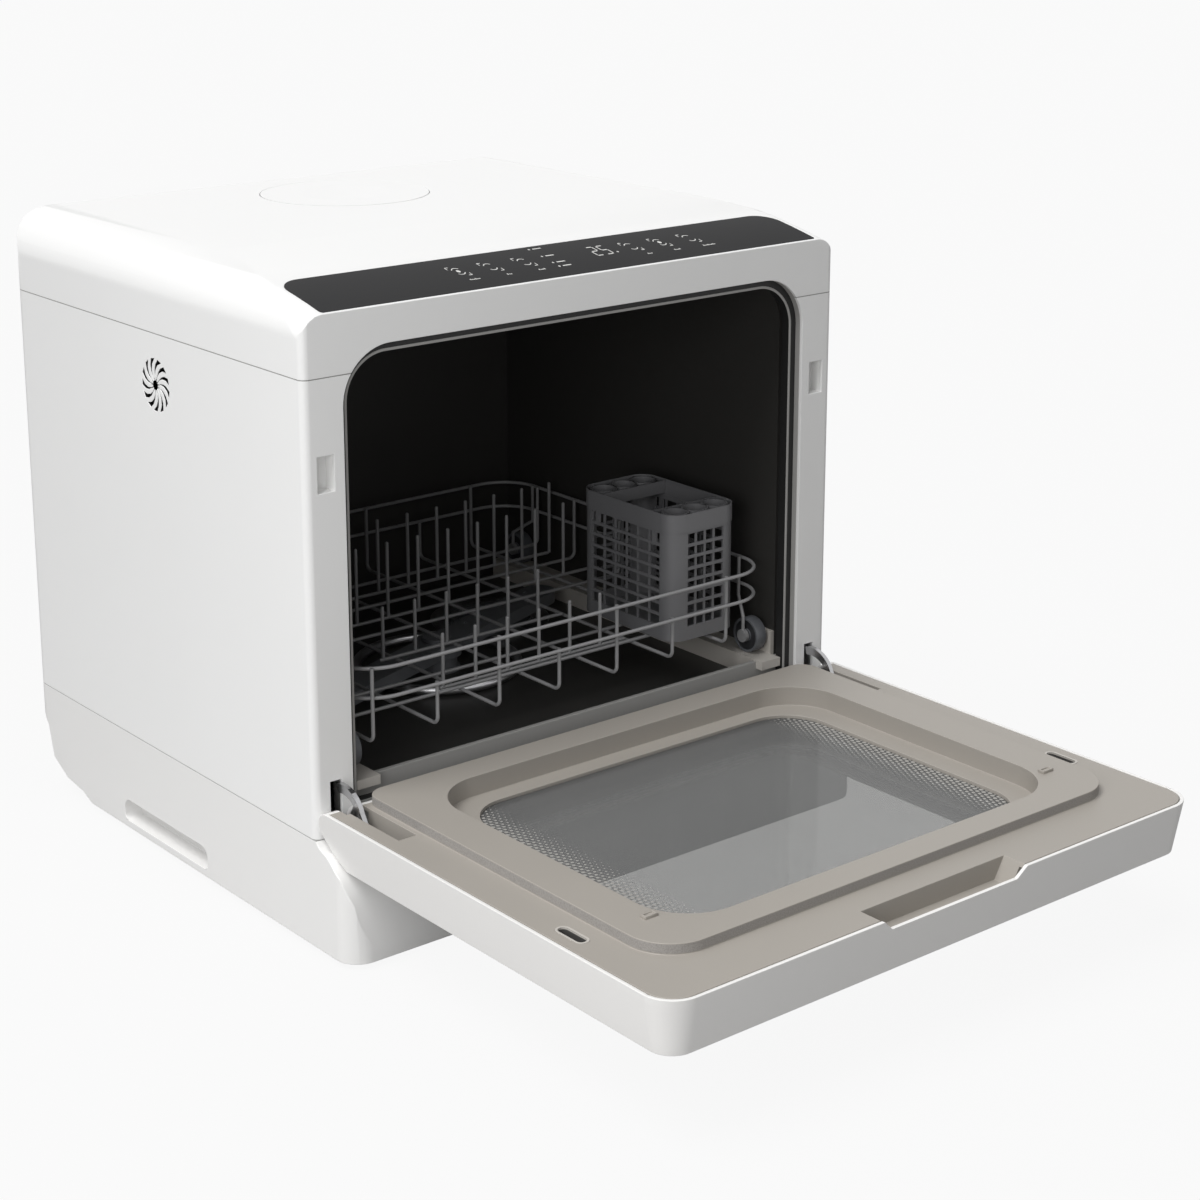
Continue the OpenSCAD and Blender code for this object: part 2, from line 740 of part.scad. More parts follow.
motor_r = 26;
module wash_pump() color(dark_grey) front() {
    translate([pump_x, sump_y, pump_z]) rotate([0, -90, 0]) {
        cylinder(r = motor_r, h = 20);
        cylinder(r = motor_r - 4, h = 82);
        translate([0, 0, 76]) cylinder(r = 8, h = 14);
    }
    box([pump_x - 70, sump_y - 18, base_floor], [pump_x - 30, sump_y + 18, pump_z - motor_r + 10]);
    translate([pump_x - 10, sump_y, pump_z]) cylinder(r = 9, h = motor_r + 6);
}

drain_r = 17;
module drain_pump() color(black) front() {
    translate([sump_x, drain_y, drain_z]) rotate([90, 0, 0]) {
        cylinder(r = drain_r, h = 16);
        cylinder(r = drain_r - 3, h = 46);
    }
    box([sump_x - 10, drain_y - 40, base_floor], [sump_x + 10, drain_y - 20, drain_z - 8]);
    translate([sump_x, drain_y - 8, nozzle_z]) rotate([0, 90, 0]) cylinder(r = 5.5, h = drain_r + 6);
}

// Hoses leave and enter their stubs face to face
hose_r = 6.5;
module wash_hose() color(black) front() {
    top = pump_z + motor_r + 6;
    pipe([[pump_x - 10, sump_y, top], [pump_x - 10, sump_y, top + 4], [0, hub_y, top + 4],
        [0, hub_y, z_hub_low]], 3.2);
}

module drain_hose() color(black) front() {
    x0 = sump_x + drain_r + 6;
    x1 = sump_x + sump_r + 20;
    y0 = drain_y - 8;
    y1 = spigot_y0 - 16;
    bent_hose([[x0, y0, nozzle_z], [x1, y0, nozzle_z], [x1, y1, nozzle_z], [spigot_x, y1, nozzle_z],
        [spigot_x, spigot_y0, nozzle_z]], hose_r);
}

module supply_hose() color(mid_grey) front() {
    z1 = z_low - 14;
    x1 = sump_x - sump_r - 40;
    bent_hose([[x1 - 80, neck_y + tank_d / 2, z_tank], [x1 - 80, neck_y + tank_d / 2, z1],
        [x1 - 80, sump_y + 50, z1], [sump_x, sump_y + 50, z1], [sump_x, sump_y + sump_r + sump_t, z1]], 5);
}

hub_base_r = 20;
z_hub_low = z_tub - tub_t - 4;
z_arm = z_tub + 11;
cap_t = 3;
module spray_hub() color(mid_grey) front() translate([0, hub_y, 0]) {
    translate([0, 0, z_hub_low]) cylinder(r = hub_base_r, h = 4);
    translate([0, 0, z_hub_low]) cylinder(r = hub_base_r - 4, h = z_tub - z_hub_low + 2);
    translate([0, 0, z_tub]) cylinder(r = hub_base_r - 6, h = z_arm - 0.3 - z_tub);
    translate([0, 0, z_tub]) cylinder(r = hub_pin_r, h = z_arm + arm_t + 0.3 - z_tub);
}

module hub_cap() color(mid_grey) front() translate([0, hub_y, z_arm + arm_t + 0.3]) {
    cylinder(r = hub_pin_r + 5, h = cap_t);
}

module spray_arm() color(mid_grey) front() translate([0, hub_y, z_arm]) rotate(20) difference() {
    linear_extrude(arm_t) union() {
        square([arm_l - arm_w * 0.7, arm_w * 0.7], center = true);
        circle(arm_w / 2);
        for (side = [-1, 1]) translate([side * (arm_l / 2 - arm_w * 0.35), 0]) circle(arm_w * 0.35);
    }
    translate([0, 0, -cut]) cylinder(r = hub_pin_r + hub_gap, h = arm_t + 2 * cut);
    for (side = [-1, 1]) for (k = [1 : 5]) translate([side * (22 + k * 20), side * 5, arm_t - 2])
        cylinder(r = 1.5, h = 2 + cut);
}

module heater() color(steel) front() translate([0, hub_y, 0]) {
    z0 = z_tub + heater_tube_r + 0.5;
    gap_a = asin(8 / heater_r);
    translate([0, 0, z0]) rotate(180 + gap_a) rotate_extrude(angle = 360 - 2 * gap_a, $fn = 64)
        translate([heater_r, 0]) circle(heater_tube_r, $fn = 24);
    x = -heater_r * cos(gap_a);
    for (dy = [-8, 8]) {
        translate([x, dy, z0]) sphere(heater_tube_r * 1.03, $fn = 24);
        translate([x, dy, z_tub - tub_t - 12])
            cylinder(r = heater_tube_r, h = z0 - z_tub + tub_t + 12, $fn = 24);
    }
    box([x - 9, -16, z_tub - tub_t - 4], [x + 9, 16, z_tub - tub_t]);
}

module level_switch() color(dark_grey) front() {
    translate([-110, sump_y, base_floor]) cylinder(r = 15, h = 16);
    translate([-110, sump_y, base_floor + 16]) cylinder(r = 3, h = 10);
}

// ---- Drying fan behind the vent ----

fan_z = z_low + vent_h;
fan_x = wall_t - half_w;
fan_d = 12;
housing_w = rotor_d + 8;
shaft_r = 1.5;
module fan_housing() color(black) front() translate([fan_x, vent_y, fan_z]) {
    difference() {
        box([0, -housing_w / 2, -housing_w / 2], [fan_d, housing_w / 2, housing_w / 2]);
        translate([-cut, 0, 0]) rotate([0, 90, 0]) cylinder(r = rotor_d / 2 + 1, h = fan_d - 1.5 + cut);
        for (a = [0 : 60 : 300]) rotate([a, 0, 0]) translate([fan_d - 3, 11, 0]) rotate([0, 90, 0])
            cylinder(r = 4, h = 6);
    }
    translate([1.5, 0, 0]) rotate([0, 90, 0]) cylinder(r = shaft_r, h = fan_d - 2);
}

module fan_rotor() color(dark_grey) front()
    translate([fan_x + 2, vent_y, fan_z]) rotate([0, 90, 0]) difference() {
    union() {
        cylinder(r = 7, h = 7);
        for (i = [0 : 6]) rotate(i * 360 / 7) translate([5, -0.75, 0.5]) cube([rotor_d / 2 - 5, 1.5, 6]);
    }
    translate([0, 0, -cut]) cylinder(r = shaft_r + 0.05, h = 20);
}

module power_board() color(copper_green) front() {
    x0 = 20 - half_w;
    for (x = [x0 + 6, x0 + 84]) for (y = [46, 134]) translate([x, y, base_floor]) cylinder(r = 3, h = 8);
    box([x0, 40, base_floor + 8], [x0 + 90, 140, base_floor + 10]);
    box([x0 + 12, 56, base_floor + 10], [x0 + 44, 84, base_floor + 34]);
    translate([x0 + 64, 76, base_floor + 10]) cylinder(r = 9, h = 26);
    box([x0 + 14, 104, base_floor + 10], [x0 + 78, 122, base_floor + 22]);
}

pocket_d = 9;
module latch_pockets() color(warm_grey) front() both_sides() difference() {
    box([pocket_x - pocket_w / 2 - 1.5, wall_t, pocket_z - pocket_h / 2 - 1.5],
        [pocket_x + pocket_w / 2 + 1.5, wall_t + pocket_d, pocket_z + pocket_h / 2 + 1.5]);
    box([pocket_x - pocket_w / 2, 0, pocket_z - pocket_h / 2],
        [pocket_x + pocket_w / 2, wall_t + pocket_d - 1.5, pocket_z + pocket_h / 2]);
}

// ---- Hinges ----

ear_h = 5.5;
module hinge_brackets() color(steel) front() both_sides() difference() {
    union() {
        box([ear_x, pivot_y, pivot_z - ear_h], [ear_x + ear_t, 40, pivot_z + ear_h]);
        box([ear_x, 24, z_low], [ear_x + ear_t, 60, z_low + 70]);
        box([ear_x, 30, z_low], [half_w - wall_t, 60, z_low + 3]);
        box([ear_x, 30, z_low + 67], [half_w - wall_t, 60, z_low + 70]);
        translate([ear_x, pivot_y, pivot_z]) rotate([0, 90, 0]) cylinder(r = ear_h, h = ear_t);
    }
    translate([ear_x - cut, pivot_y, pivot_z]) rotate([0, 90, 0]) cylinder(r = pin_r, h = ear_t + 2 * cut);
}

module hinge_pins() color(steel) front() both_sides()
    translate([blade_x - 0.3, pivot_y, pivot_z]) rotate([0, 90, 0])
        cylinder(r = pin_r, h = ear_x + ear_t - blade_x + 0.3);

eye_r = 6;
plate_drop = 3.5;
z_plate = pivot_z - plate_drop;
pocket_y0 = -68;
pocket_y1 = -18;
blade_top_r = 27;
function arc_points(r, a0, a1, n) = [for (k = [0 : n]) let (a = a0 + (a1 - a0) * k / n)
    [pivot_y + r * cos(a), pivot_z + r * sin(a)]];
module hinge_arms() color(steel) front() both_sides() {
    along_x(blade_x, blade_x + blade_t) difference() {
        union() {
            translate([pivot_y, pivot_z]) circle(eye_r);
            polygon(concat(
                [for (k = [0 : 8]) let (a = 62 + 78 * k / 8, r = blade_top_r - 9 * k / 8)
                    [pivot_y + r * cos(a), pivot_z + r * sin(a)]],
                [[pivot_y - 22, z_plate + 3], [pivot_y - 8, z_plate + 2], [pivot_y, pivot_z + 3]],
                [for (k = [4 : -1 : 0]) let (a = 62 + 50 * k / 4, r = blade_top_r - 6 - 5 * k / 4)
                    [pivot_y + r * cos(a), pivot_z + r * sin(a)]]));
            translate([pocket_y0 + 4, z_plate]) square([pivot_y - pocket_y0 - 4, 5]);
        }
        translate([pivot_y, pivot_z]) circle(pin_r + pin_gap);
    }
    box([liner_pocket_x0, pocket_y0 + 3, z_plate], [liner_pocket_x1, pocket_y1 - 3, z_plate + 1.5]);
}

module hinge_screws() color(steel) front() both_sides() for (y = [pocket_y0 + 10, pocket_y1 - 14])
    translate([liner_pocket_x0 + 3.2, y, z_plate + 1.5]) cylinder(r = 2.2, h = 1.4);

// ---- Door ----

// Outline of the open door in YZ, drawn in by an inset. Its hinge end turns clear of the front face.
module door_profile(inset) {
    r = -pivot_y - end_gap - inset;
    far_y = -door_reach + inset;
    far_low = far_y + door_taper;
    low = z_outer + inset;
    polygon(concat(arc_points(r, 90, -20, 10),
        [[pivot_y + 1.5 - inset, pivot_z - 12.9 + inset], [pivot_y - 4.5 - inset, pivot_z - 18 + inset],
            [pivot_y - 12.5 - inset, low], [far_low, low], [far_y, z_rim], [pivot_y, z_rim]]));
}

// What the door's free corners lose: each is a cone that narrows with the taper
module door_corners(inset) {
    r = door_corner_r;
    slope = door_taper / door_t;
    both_sides() difference() {
        box([half_w - r, -door_reach - cut, z_outer - cut], [half_w + cut, r - door_reach, z_rim + cut]);
        translate([half_w - r, r - door_reach, z_outer - 2 * cut])
            cylinder(r1 = r - door_taper - inset - slope * 2 * cut, r2 = r - inset + slope * 2 * cut,
                h = door_t + 4 * cut, $fn = 96);
    }
}

module door_form(inset) {
    top = z_rim + cut;
    difference() {
        intersection() {
            along_x(-half_w, half_w) door_profile(inset);
            along_y(-door_reach, 0) polygon([[inset - half_w, top], [inset - half_w, z_rim],
                [inset + door_taper - half_w, z_outer], [half_w - door_taper - inset, z_outer],
                [half_w - inset, z_rim], [half_w - inset, top]]);
        }
        door_corners(inset);
    }
}

window_r = 30;
window_y0 = -door_reach + 66;
window_y1 = -44;
outer_margin = 8;
handle_dip = 6.5;
handle_y = -door_reach + handle_d;
module handle_notch(z) {
    along_y(-door_reach - cut, handle_y) polygon([[-handle_w / 2, z_rim + cut], [-handle_w / 2 + 8, z],
        [handle_w / 2 - 8, z], [handle_w / 2, z_rim + cut]]);
}

module hinge_notch() {
    both_sides() box([blade_x - 3, pocket_y1, pivot_z - ear_h - 1.5],
        [ear_x + ear_t + 1.5, cut, z_rim + 2 * cut]);
}

module door_panel() color(white) front() difference() {
    door_form(0);
    door_form(panel_t);
    translate([0, 0, z_rim - panel_t - eps]) linear_extrude(panel_t + cut) rim_hole();
    translate([0, 0, z_outer - cut]) linear_extrude(panel_t + 2 * cut)
        rounded([outer_margin - window_w / 2, window_y0 + outer_margin],
            [window_w / 2 - outer_margin, window_y1 - outer_margin],
            window_r - outer_margin, window_r - outer_margin);
    handle_notch(z_rim - handle_dip);
    hinge_notch();
}

liner_gap = 0.5;
liner_t = 2.5;
module rim_hole() {
    rounded([panel_t - half_w, panel_t - door_reach], [half_w - panel_t, pivot_y],
        door_corner_r - panel_t, 0.5);
}

frame_y1 = -9;
frame_y0 = -door_reach + 37;
frame_in = 28;
z_basin = z_rim - 6.5;
liner_pocket_x0 = blade_x - 7;
liner_pocket_x1 = blade_x + blade_t + 2.5;
module liner_outline() {
    rounded([-half_w + panel_t + liner_gap, -door_reach + panel_t + liner_gap],
        [half_w - panel_t - liner_gap, pivot_y], door_corner_r - panel_t - liner_gap, 0.5);
}

module frame_outline(inset) {
    rounded([-frame_w / 2 + inset, frame_y0 + inset], [frame_w / 2 - inset, frame_y1 - inset],
        28 - inset, 12 - inset);
}

module door_liner() color(warm_grey) front() difference() {
    union() {
        translate([0, 0, z_rim - liner_t]) linear_extrude(liner_t) liner_outline();
        translate([0, 0, z_basin - liner_t]) linear_extrude(z_frame - z_basin + liner_t) difference() {
            frame_outline(0);
            translate([-half_w, pivot_y]) square([body_w, 40]);
        }
        translate([0, 0, z_frame - liner_t - 2]) linear_extrude(liner_t + 2) frame_outline(0);
        both_sides() box([liner_pocket_x0 - 1.5, pocket_y0 - 1.5, z_plate - 2],
            [liner_pocket_x1 + 1.5, pocket_y1, z_rim]);
        box([-handle_w / 2 - 2, -door_reach + panel_t + 3, z_rim - 15],
            [handle_w / 2 + 2, handle_y + 2, z_rim]);
    }
    // hollow under the raised frame
    translate([0, 0, z_basin - liner_t - cut]) linear_extrude(z_frame - z_basin + cut) difference() {
        intersection() {
            frame_outline(liner_t);
            translate([-half_w, -door_reach]) square([body_w, door_reach + pivot_y - 2]);
        }
        basin_outline(-liner_t);
    }
    // basin over the window, and the window itself
    translate([0, 0, z_basin]) linear_extrude(z_frame - z_basin + cut) basin_outline(0);
    translate([0, 0, z_basin - liner_t - cut]) linear_extrude(liner_t + 2 * cut)
        rounded([-window_w / 2, window_y0], [window_w / 2, window_y1], window_r, window_r);
    both_sides() box([liner_pocket_x0, pocket_y0, z_plate], [liner_pocket_x1, cut, z_frame + cut]);
    both_sides() box([blade_x - 3, pocket_y1, pivot_z - ear_h - 1.5],
        [ear_x + ear_t + 1.5, cut, z_rim + cut]);
    for (side = [-1, 1]) translate([side * slot_x, slot_y, z_rim - liner_t - cut])
        slot_shape(0, liner_t + 2 * cut);
    // hand space behind the free edge
    along_y(-door_reach, handle_y) polygon([[-handle_w / 2, z_rim + cut], [-handle_w / 2 + 8, z_rim - 13],
        [handle_w / 2 - 8, z_rim - 13], [handle_w / 2, z_rim + cut]]);
}

module basin_outline(inset) {
    rounded([-frame_w / 2 + frame_in + inset, frame_y0 + frame_in * 0.7 + inset],
        [frame_w / 2 - frame_in - inset, frame_y1 - 22 - inset], 36 - inset, 36 - inset);
}

glass_lap = 6;
module inner_glass() color(clear) front()
    translate([0, 0, z_basin - liner_t - glass_t]) linear_extrude(glass_t)
        rounded([-window_w / 2 - glass_lap, window_y0 - glass_lap],
            [window_w / 2 + glass_lap, window_y1 + glass_lap], window_r + glass_lap, window_r + glass_lap);

module outer_glass() color(clear) front()
    translate([0, 0, z_outer + panel_t]) linear_extrude(glass_t)
        rounded([-window_w / 2, window_y0], [window_w / 2, window_y1], window_r, window_r);

// Slots in the liner that meet the latch pockets when the door is shut
slot_x = pocket_x;
slot_y = pivot_y + pivot_z - pocket_z;
slot_w = 9;
slot_l = 24;
module slot_shape(grow, h) {
    linear_extrude(h) rounded(
        [-slot_w / 2 - grow, -slot_l / 2 - grow], [slot_w / 2 + grow, slot_l / 2 + grow],
        slot_w / 2 + grow - 0.1, slot_w / 2 + grow - 0.1);
}
module slot_rims() color(dark_grey) front() for (side = [-1, 1])
    translate([side * slot_x, slot_y, z_rim - 8]) difference() {
        slot_shape(0, 8.1);
        translate([0, 0, 1.5]) slot_shape(-1.4, 10);
    }

// ---- Rack ----

wire_r = wire_d / 2;
rack_x = tub_x - rack_side;
rack_w = 2 * rack_x;
rack_y0 = rack_home;
rack_y1 = tub_y1 - rack_rear;
rack_d = rack_y1 - rack_y0;
basket_x = rack_x - basket_side - basket_w / 2;
z_lower = z_run + rail_low;
z_upper = z_run + rail_high;
z_cup = z_run + rail_cup;
weld = 0.1;
z_cross = z_run + floor_h;
z_long = z_cross - wire_d + weld;
bend_r = 5;

// A flat ring of wire round the rack
module wire_ring(z) {
    r = rail_r;
    for (side = [-1, 1]) {
        translate([side * rack_x, rack_y0 + r, z]) rotate([-90, 0, 0])
            cylinder(r = wire_r, h = rack_d - 2 * r, $fn = 24);
        for (y = [rack_y0, rack_y1])
            translate([-rack_x + r, y, z]) rotate([0, 90, 0])
                cylinder(r = wire_r, h = rack_w - 2 * r, $fn = 24);
    }
    for (c = [[rack_x - r, rack_y1 - r, 0], [-rack_x + r, rack_y1 - r, 90], [-rack_x + r, rack_y0 + r, 180],
        [rack_x - r, rack_y0 + r, 270]])
        translate([c.x, c.y, z]) rotate(c.z) rotate_extrude(angle = 90, $fn = 64)
            translate([r, 0]) circle(wire_r, $fn = 24);
}

cup_rail_y0 = rack_y0 + 24;
cup_rail_y1 = rack_y1 - 24;
module rack_rails() color(mid_grey) front() {
    wire_ring(z_lower);
    wire_ring(z_upper);
    rod([-rack_x, cup_rail_y0, z_cup], [-rack_x, cup_rail_y1, z_cup], wire_r);
}

// A U of wire in a plane, with round bends: floor length, left and right heights
module wire_u(length, h_left, h_right) {
    b = bend_r;
    translate([b, 0, 0]) rotate([0, 90, 0]) cylinder(r = wire_r, h = length - 2 * b, $fn = 24);
    translate([0, 0, b]) cylinder(r = wire_r, h = h_left - b, $fn = 24);
    translate([length, 0, b]) cylinder(r = wire_r, h = h_right - b, $fn = 24);
    translate([b, 0, b]) rotate([90, 0, 0]) rotate(180) rotate_extrude(angle = 90, $fn = 32)
        translate([b, 0]) circle(wire_r, $fn = 24);
    translate([length - b, 0, b]) rotate([90, 0, 0]) rotate(270) rotate_extrude(angle = 90, $fn = 32)
        translate([b, 0]) circle(wire_r, $fn = 24);
}

cross_ys = [42, 71, 161, 214, rack_d - 37];
inner_x = rack_x - wire_d + weld;
module rack_cross_wires() color(mid_grey) front() for (y = cross_ys)
    translate([-inner_x, rack_y0 + y, z_cross])
        wire_u(2 * inner_x, z_cup + 1 - z_cross, z_upper + 1 - z_cross);

// Every other long wire ends at the lower rail
inner_y = wire_d - weld;
long_count = 7;
long_pitch = (rack_w - long_left - long_right) / (long_count - 1);
module rack_long_wires() color(mid_grey) front() for (i = [0 : long_count - 1]) {
    top = (i % 2 == 0) ? z_upper : z_lower;
    translate([long_left - rack_x + i * long_pitch, rack_y0 + inner_y, z_long]) rotate(90)
        wire_u(rack_d - 2 * inner_y, top + 1 - z_long, top + 1 - z_long);
}

// A row of tines on a base wire along X, standing on the long wires
module tine_row(x0, x1, y, h) {
    z0 = z_long + wire_d - weld;
    n = floor((x1 - x0) / tine_pitch);
    translate([x0, y, z0]) rotate([0, 90, 0]) cylinder(r = wire_r, h = x1 - x0, $fn = 24);
    for (i = [0 : n]) translate([x0 + 3 + i * tine_pitch, y, z0]) {
        cylinder(r = wire_r, h = h, $fn = 24);
        translate([0, 0, h]) sphere(wire_r, $fn = 24);
    }
}

tine_x0 = 94 - rack_x;
bowl_tine_x1 = basket_x - 44;
plate_tine_x1 = rack_x - 10;
bowl_rows = [48, 116];
plate_rows = [186, 236];
module bowl_tines() color(mid_grey) front()
    for (y = bowl_rows) tine_row(tine_x0, bowl_tine_x1, rack_y0 + y, bowl_tine_h);
module plate_tines() color(mid_grey) front()
    for (y = plate_rows) tine_row(tine_x0, plate_tine_x1, rack_y0 + y, plate_tine_h);

wheel_r = wheel_d / 2;
wheel_z = z_run + wheel_r + 0.3;
wheel_x = rack_x - 6;
wheel_ys = [19, 108, rack_d - 14];
hub_w = 3;

// How far a bracket's upright stands from its wheel's axle, clear of the rails' corners
function upright(y) = max(rail_r + 1, min(y + 6, rack_d - rail_r - 1)) - y;

module wheel_brackets() color(mid_grey) front() both_sides()
    for (y = wheel_ys) translate([0, rack_y0 + y, 0]) {
    x_in = wheel_x - 1;
    u = upright(y);
    pipe([[inner_x, u, z_upper + 1], [inner_x, u, z_lower - 8], [x_in - hub_w / 2, 0, z_lower - 20],
        [x_in - hub_w / 2, 0, wheel_z]], wire_r);
    translate([x_in - hub_w, 0, wheel_z]) rotate([0, 90, 0]) cylinder(r = 4.5, h = hub_w);
    translate([x_in - eps, 0, wheel_z]) rotate([0, 90, 0]) cylinder(r = axle_r, h = wheel_w + 2.2);
    translate([x_in + 0.4 + wheel_w + 0.4, 0, wheel_z]) rotate([0, 90, 0])
        cylinder(r = axle_r + 1.2, h = 1.4);
}

module wheel(side, y) color(dark_grey) front() translate([side * (wheel_x - 0.6), rack_y0 + y, wheel_z])
    rotate([0, side * 90, 0]) difference() {
        cylinder(r = wheel_r, h = wheel_w);
        translate([0, 0, -cut]) cylinder(r = axle_r + axle_gap, h = wheel_w + 2 * cut);
        translate([0, 0, wheel_w - 3]) difference() {
            cylinder(r = wheel_r - 2.2, h = 3 + cut);
            translate([0, 0, -cut]) cylinder(r = axle_r + 2, h = 5);
            for (a = [0 : 60 : 150]) rotate(a) translate([-wheel_r, -0.9, -cut]) cube([2 * wheel_r, 1.8, 5]);
        }
    }

module front_left_wheel() wheel(-1, wheel_ys[0]);
module front_right_wheel() wheel(1, wheel_ys[0]);
module middle_left_wheel() wheel(-1, wheel_ys[1]);
module middle_right_wheel() wheel(1, wheel_ys[1]);
module rear_left_wheel() wheel(-1, wheel_ys[2]);
module rear_right_wheel() wheel(1, wheel_ys[2]);

// ---- Cutlery basket ----

basket_z = z_cross + wire_r + 0.3;
module basket_outline(inset) {
    x = basket_w / 2 - inset;
    rounded([-x, inset], [x, basket_d - inset], basket_r - inset, basket_r - inset);
}

lattice_rows = 6;
module cutlery_basket() color(dark_grey) front() translate([basket_x, rack_y0 + basket_y, basket_z]) {
    rim_h = 12;
    foot_band = 9;
    row_h = (basket_h - rim_h - foot_band) / lattice_rows;
    hole_h = row_h - 2.2;
    side_l = basket_d - 2 * basket_r - 8;
    end_l = basket_w - 2 * basket_r;
    difference() {
        linear_extrude(basket_h) basket_outline(0);
        translate([0, 0, basket_t]) linear_extrude(basket_h - 2 * basket_t) basket_outline(basket_t);
        // open middle of the top
        translate([0, 0, basket_h - basket_t - cut]) linear_extrude(basket_t + 2 * cut)
            translate([-basket_w / 2 + 6, 24]) square([basket_w - 12, basket_d - 48]);
        // holder rings at both ends of the top
        for (i = [-1 : 1]) for (y = [12.5, basket_d - 12.5])
            translate([i * (2 * ring_r + 1.6), y, basket_h - basket_t - cut])
                cylinder(r = ring_r, h = basket_t + 2 * cut);
        // lattice
        for (row = [0 : lattice_rows - 1]) for (k = [0 : 5])
            translate([-basket_w, basket_r + 4 + k * side_l / 6 + 1, foot_band + row * row_h])
                cube([2 * basket_w, side_l / 6 - 2, hole_h]);
        for (row = [0 : lattice_rows - 1]) for (k = [0 : 3])
            translate([-end_l / 2 + k * end_l / 4 + 1, -cut, foot_band + row * row_h])
                cube([end_l / 4 - 2, basket_d + 2 * cut, hole_h]);
        // slots in the floor
        for (k = [0 : 4]) translate([-18, 12 + k * 16, -cut]) cube([36, 8, basket_t + 2 * cut]);
    }
}

// ---- Fill lid ----

rest_gap = 0.3;
lid_plate_t = wall_t - rest_gap;
module fill_lid() color(white) front() translate([0, lid_y, z_ledge + rest_gap]) difference() {
    union() {
        cylinder(r = lid_r, h = lid_plate_t, $fn = 96);
        translate([0, 0, -8]) cylinder(r = funnel_r - 0.5, h = 8 + eps, $fn = 96);
    }
    translate([0, 0, -8 - cut]) cylinder(r = funnel_r - 2.5, h = 8 + cut, $fn = 96);
    translate([0, 0, lid_plate_t + 520]) sphere(r = 521, $fn = 360);
}

// ---- Connections at the rear of the base ----

nozzle_z = z_base + 26;
gland_z = z_base + 29;
inlet_x = half_w - 60;
spigot_x = inlet_x - 45;
gland_x = 60 - half_w;
gland_r = 8;
nozzle_y0 = body_d - 17.5;
spigot_y0 = nozzle_y0 - 14;
thread_l = 9.5;
hose_seat_l = 12;
module water_inlet() color(mid_grey) front() translate([inlet_x, spigot_y0, nozzle_z]) rotate([-90, 0, 0])
    difference() {
        union() {
            cylinder(r = inlet_r - 3, h = 14 + nozzle_l);
            translate([0, 0, 14 + nozzle_l - thread_l]) cylinder(r = inlet_r, h = thread_l);
        }
        translate([0, 0, 6]) cylinder(r = inlet_r - 5, h = 10 + nozzle_l);
    }

module drain_spigot() color(dark_grey) front() translate([spigot_x, spigot_y0, nozzle_z])
    rotate([-90, 0, 0]) difference() {
        union() {
            cylinder(r = spigot_r, h = 14 + nozzle_l);
            cylinder(r = spigot_r + 1.5, h = 14 + nozzle_l - hose_seat_l);
        }
        translate([0, 0, -cut]) cylinder(r = spigot_r - 2.5, h = 16 + nozzle_l);
    }

module cord_gland() color(black) front() translate([gland_x, spigot_y0, gland_z]) rotate([-90, 0, 0])
    difference() {
        union() {
            cylinder(r = gland_r, h = 24);
            translate([0, 0, 17.5]) cylinder(r = gland_r + 2.5, h = 4);
            translate([0, 0, -2]) cylinder(r = gland_r + 2.5, h = 4);
        }
        translate([0, 0, -2 - cut]) cylinder(r = 3.6, h = 40);
    }

left_side();
right_side();
top_cover();
rear_panel();
base_tray();
feet();
control_glass();
control_board();
mouth_frame();
tub();
tub_gasket();
tub_runners();
fill_funnel();
water_tank();
sump();
filter_plate();
wash_pump();
drain_pump();
heater();
wash_hose();
drain_hose();
supply_hose();
spray_hub();
hub_cap();
level_switch();
fan_housing();
power_board();
latch_pockets();
hinge_brackets();
hinge_pins();
water_inlet();
drain_spigot();
cord_gland();
rear_screws();
door_panel();
door_liner();
inner_glass();
outer_glass();
slot_rims();
hinge_arms();
hinge_screws();
rack_rails();
rack_cross_wires();
rack_long_wires();
bowl_tines();
plate_tines();
wheel_brackets();
front_left_wheel();
front_right_wheel();
middle_left_wheel();
middle_right_wheel();
rear_left_wheel();
rear_right_wheel();
cutlery_basket();
spray_arm();
fill_lid();
filter_cup();
fan_rotor();
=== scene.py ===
import bpy
import json
import math
from mathutils import Matrix, Vector


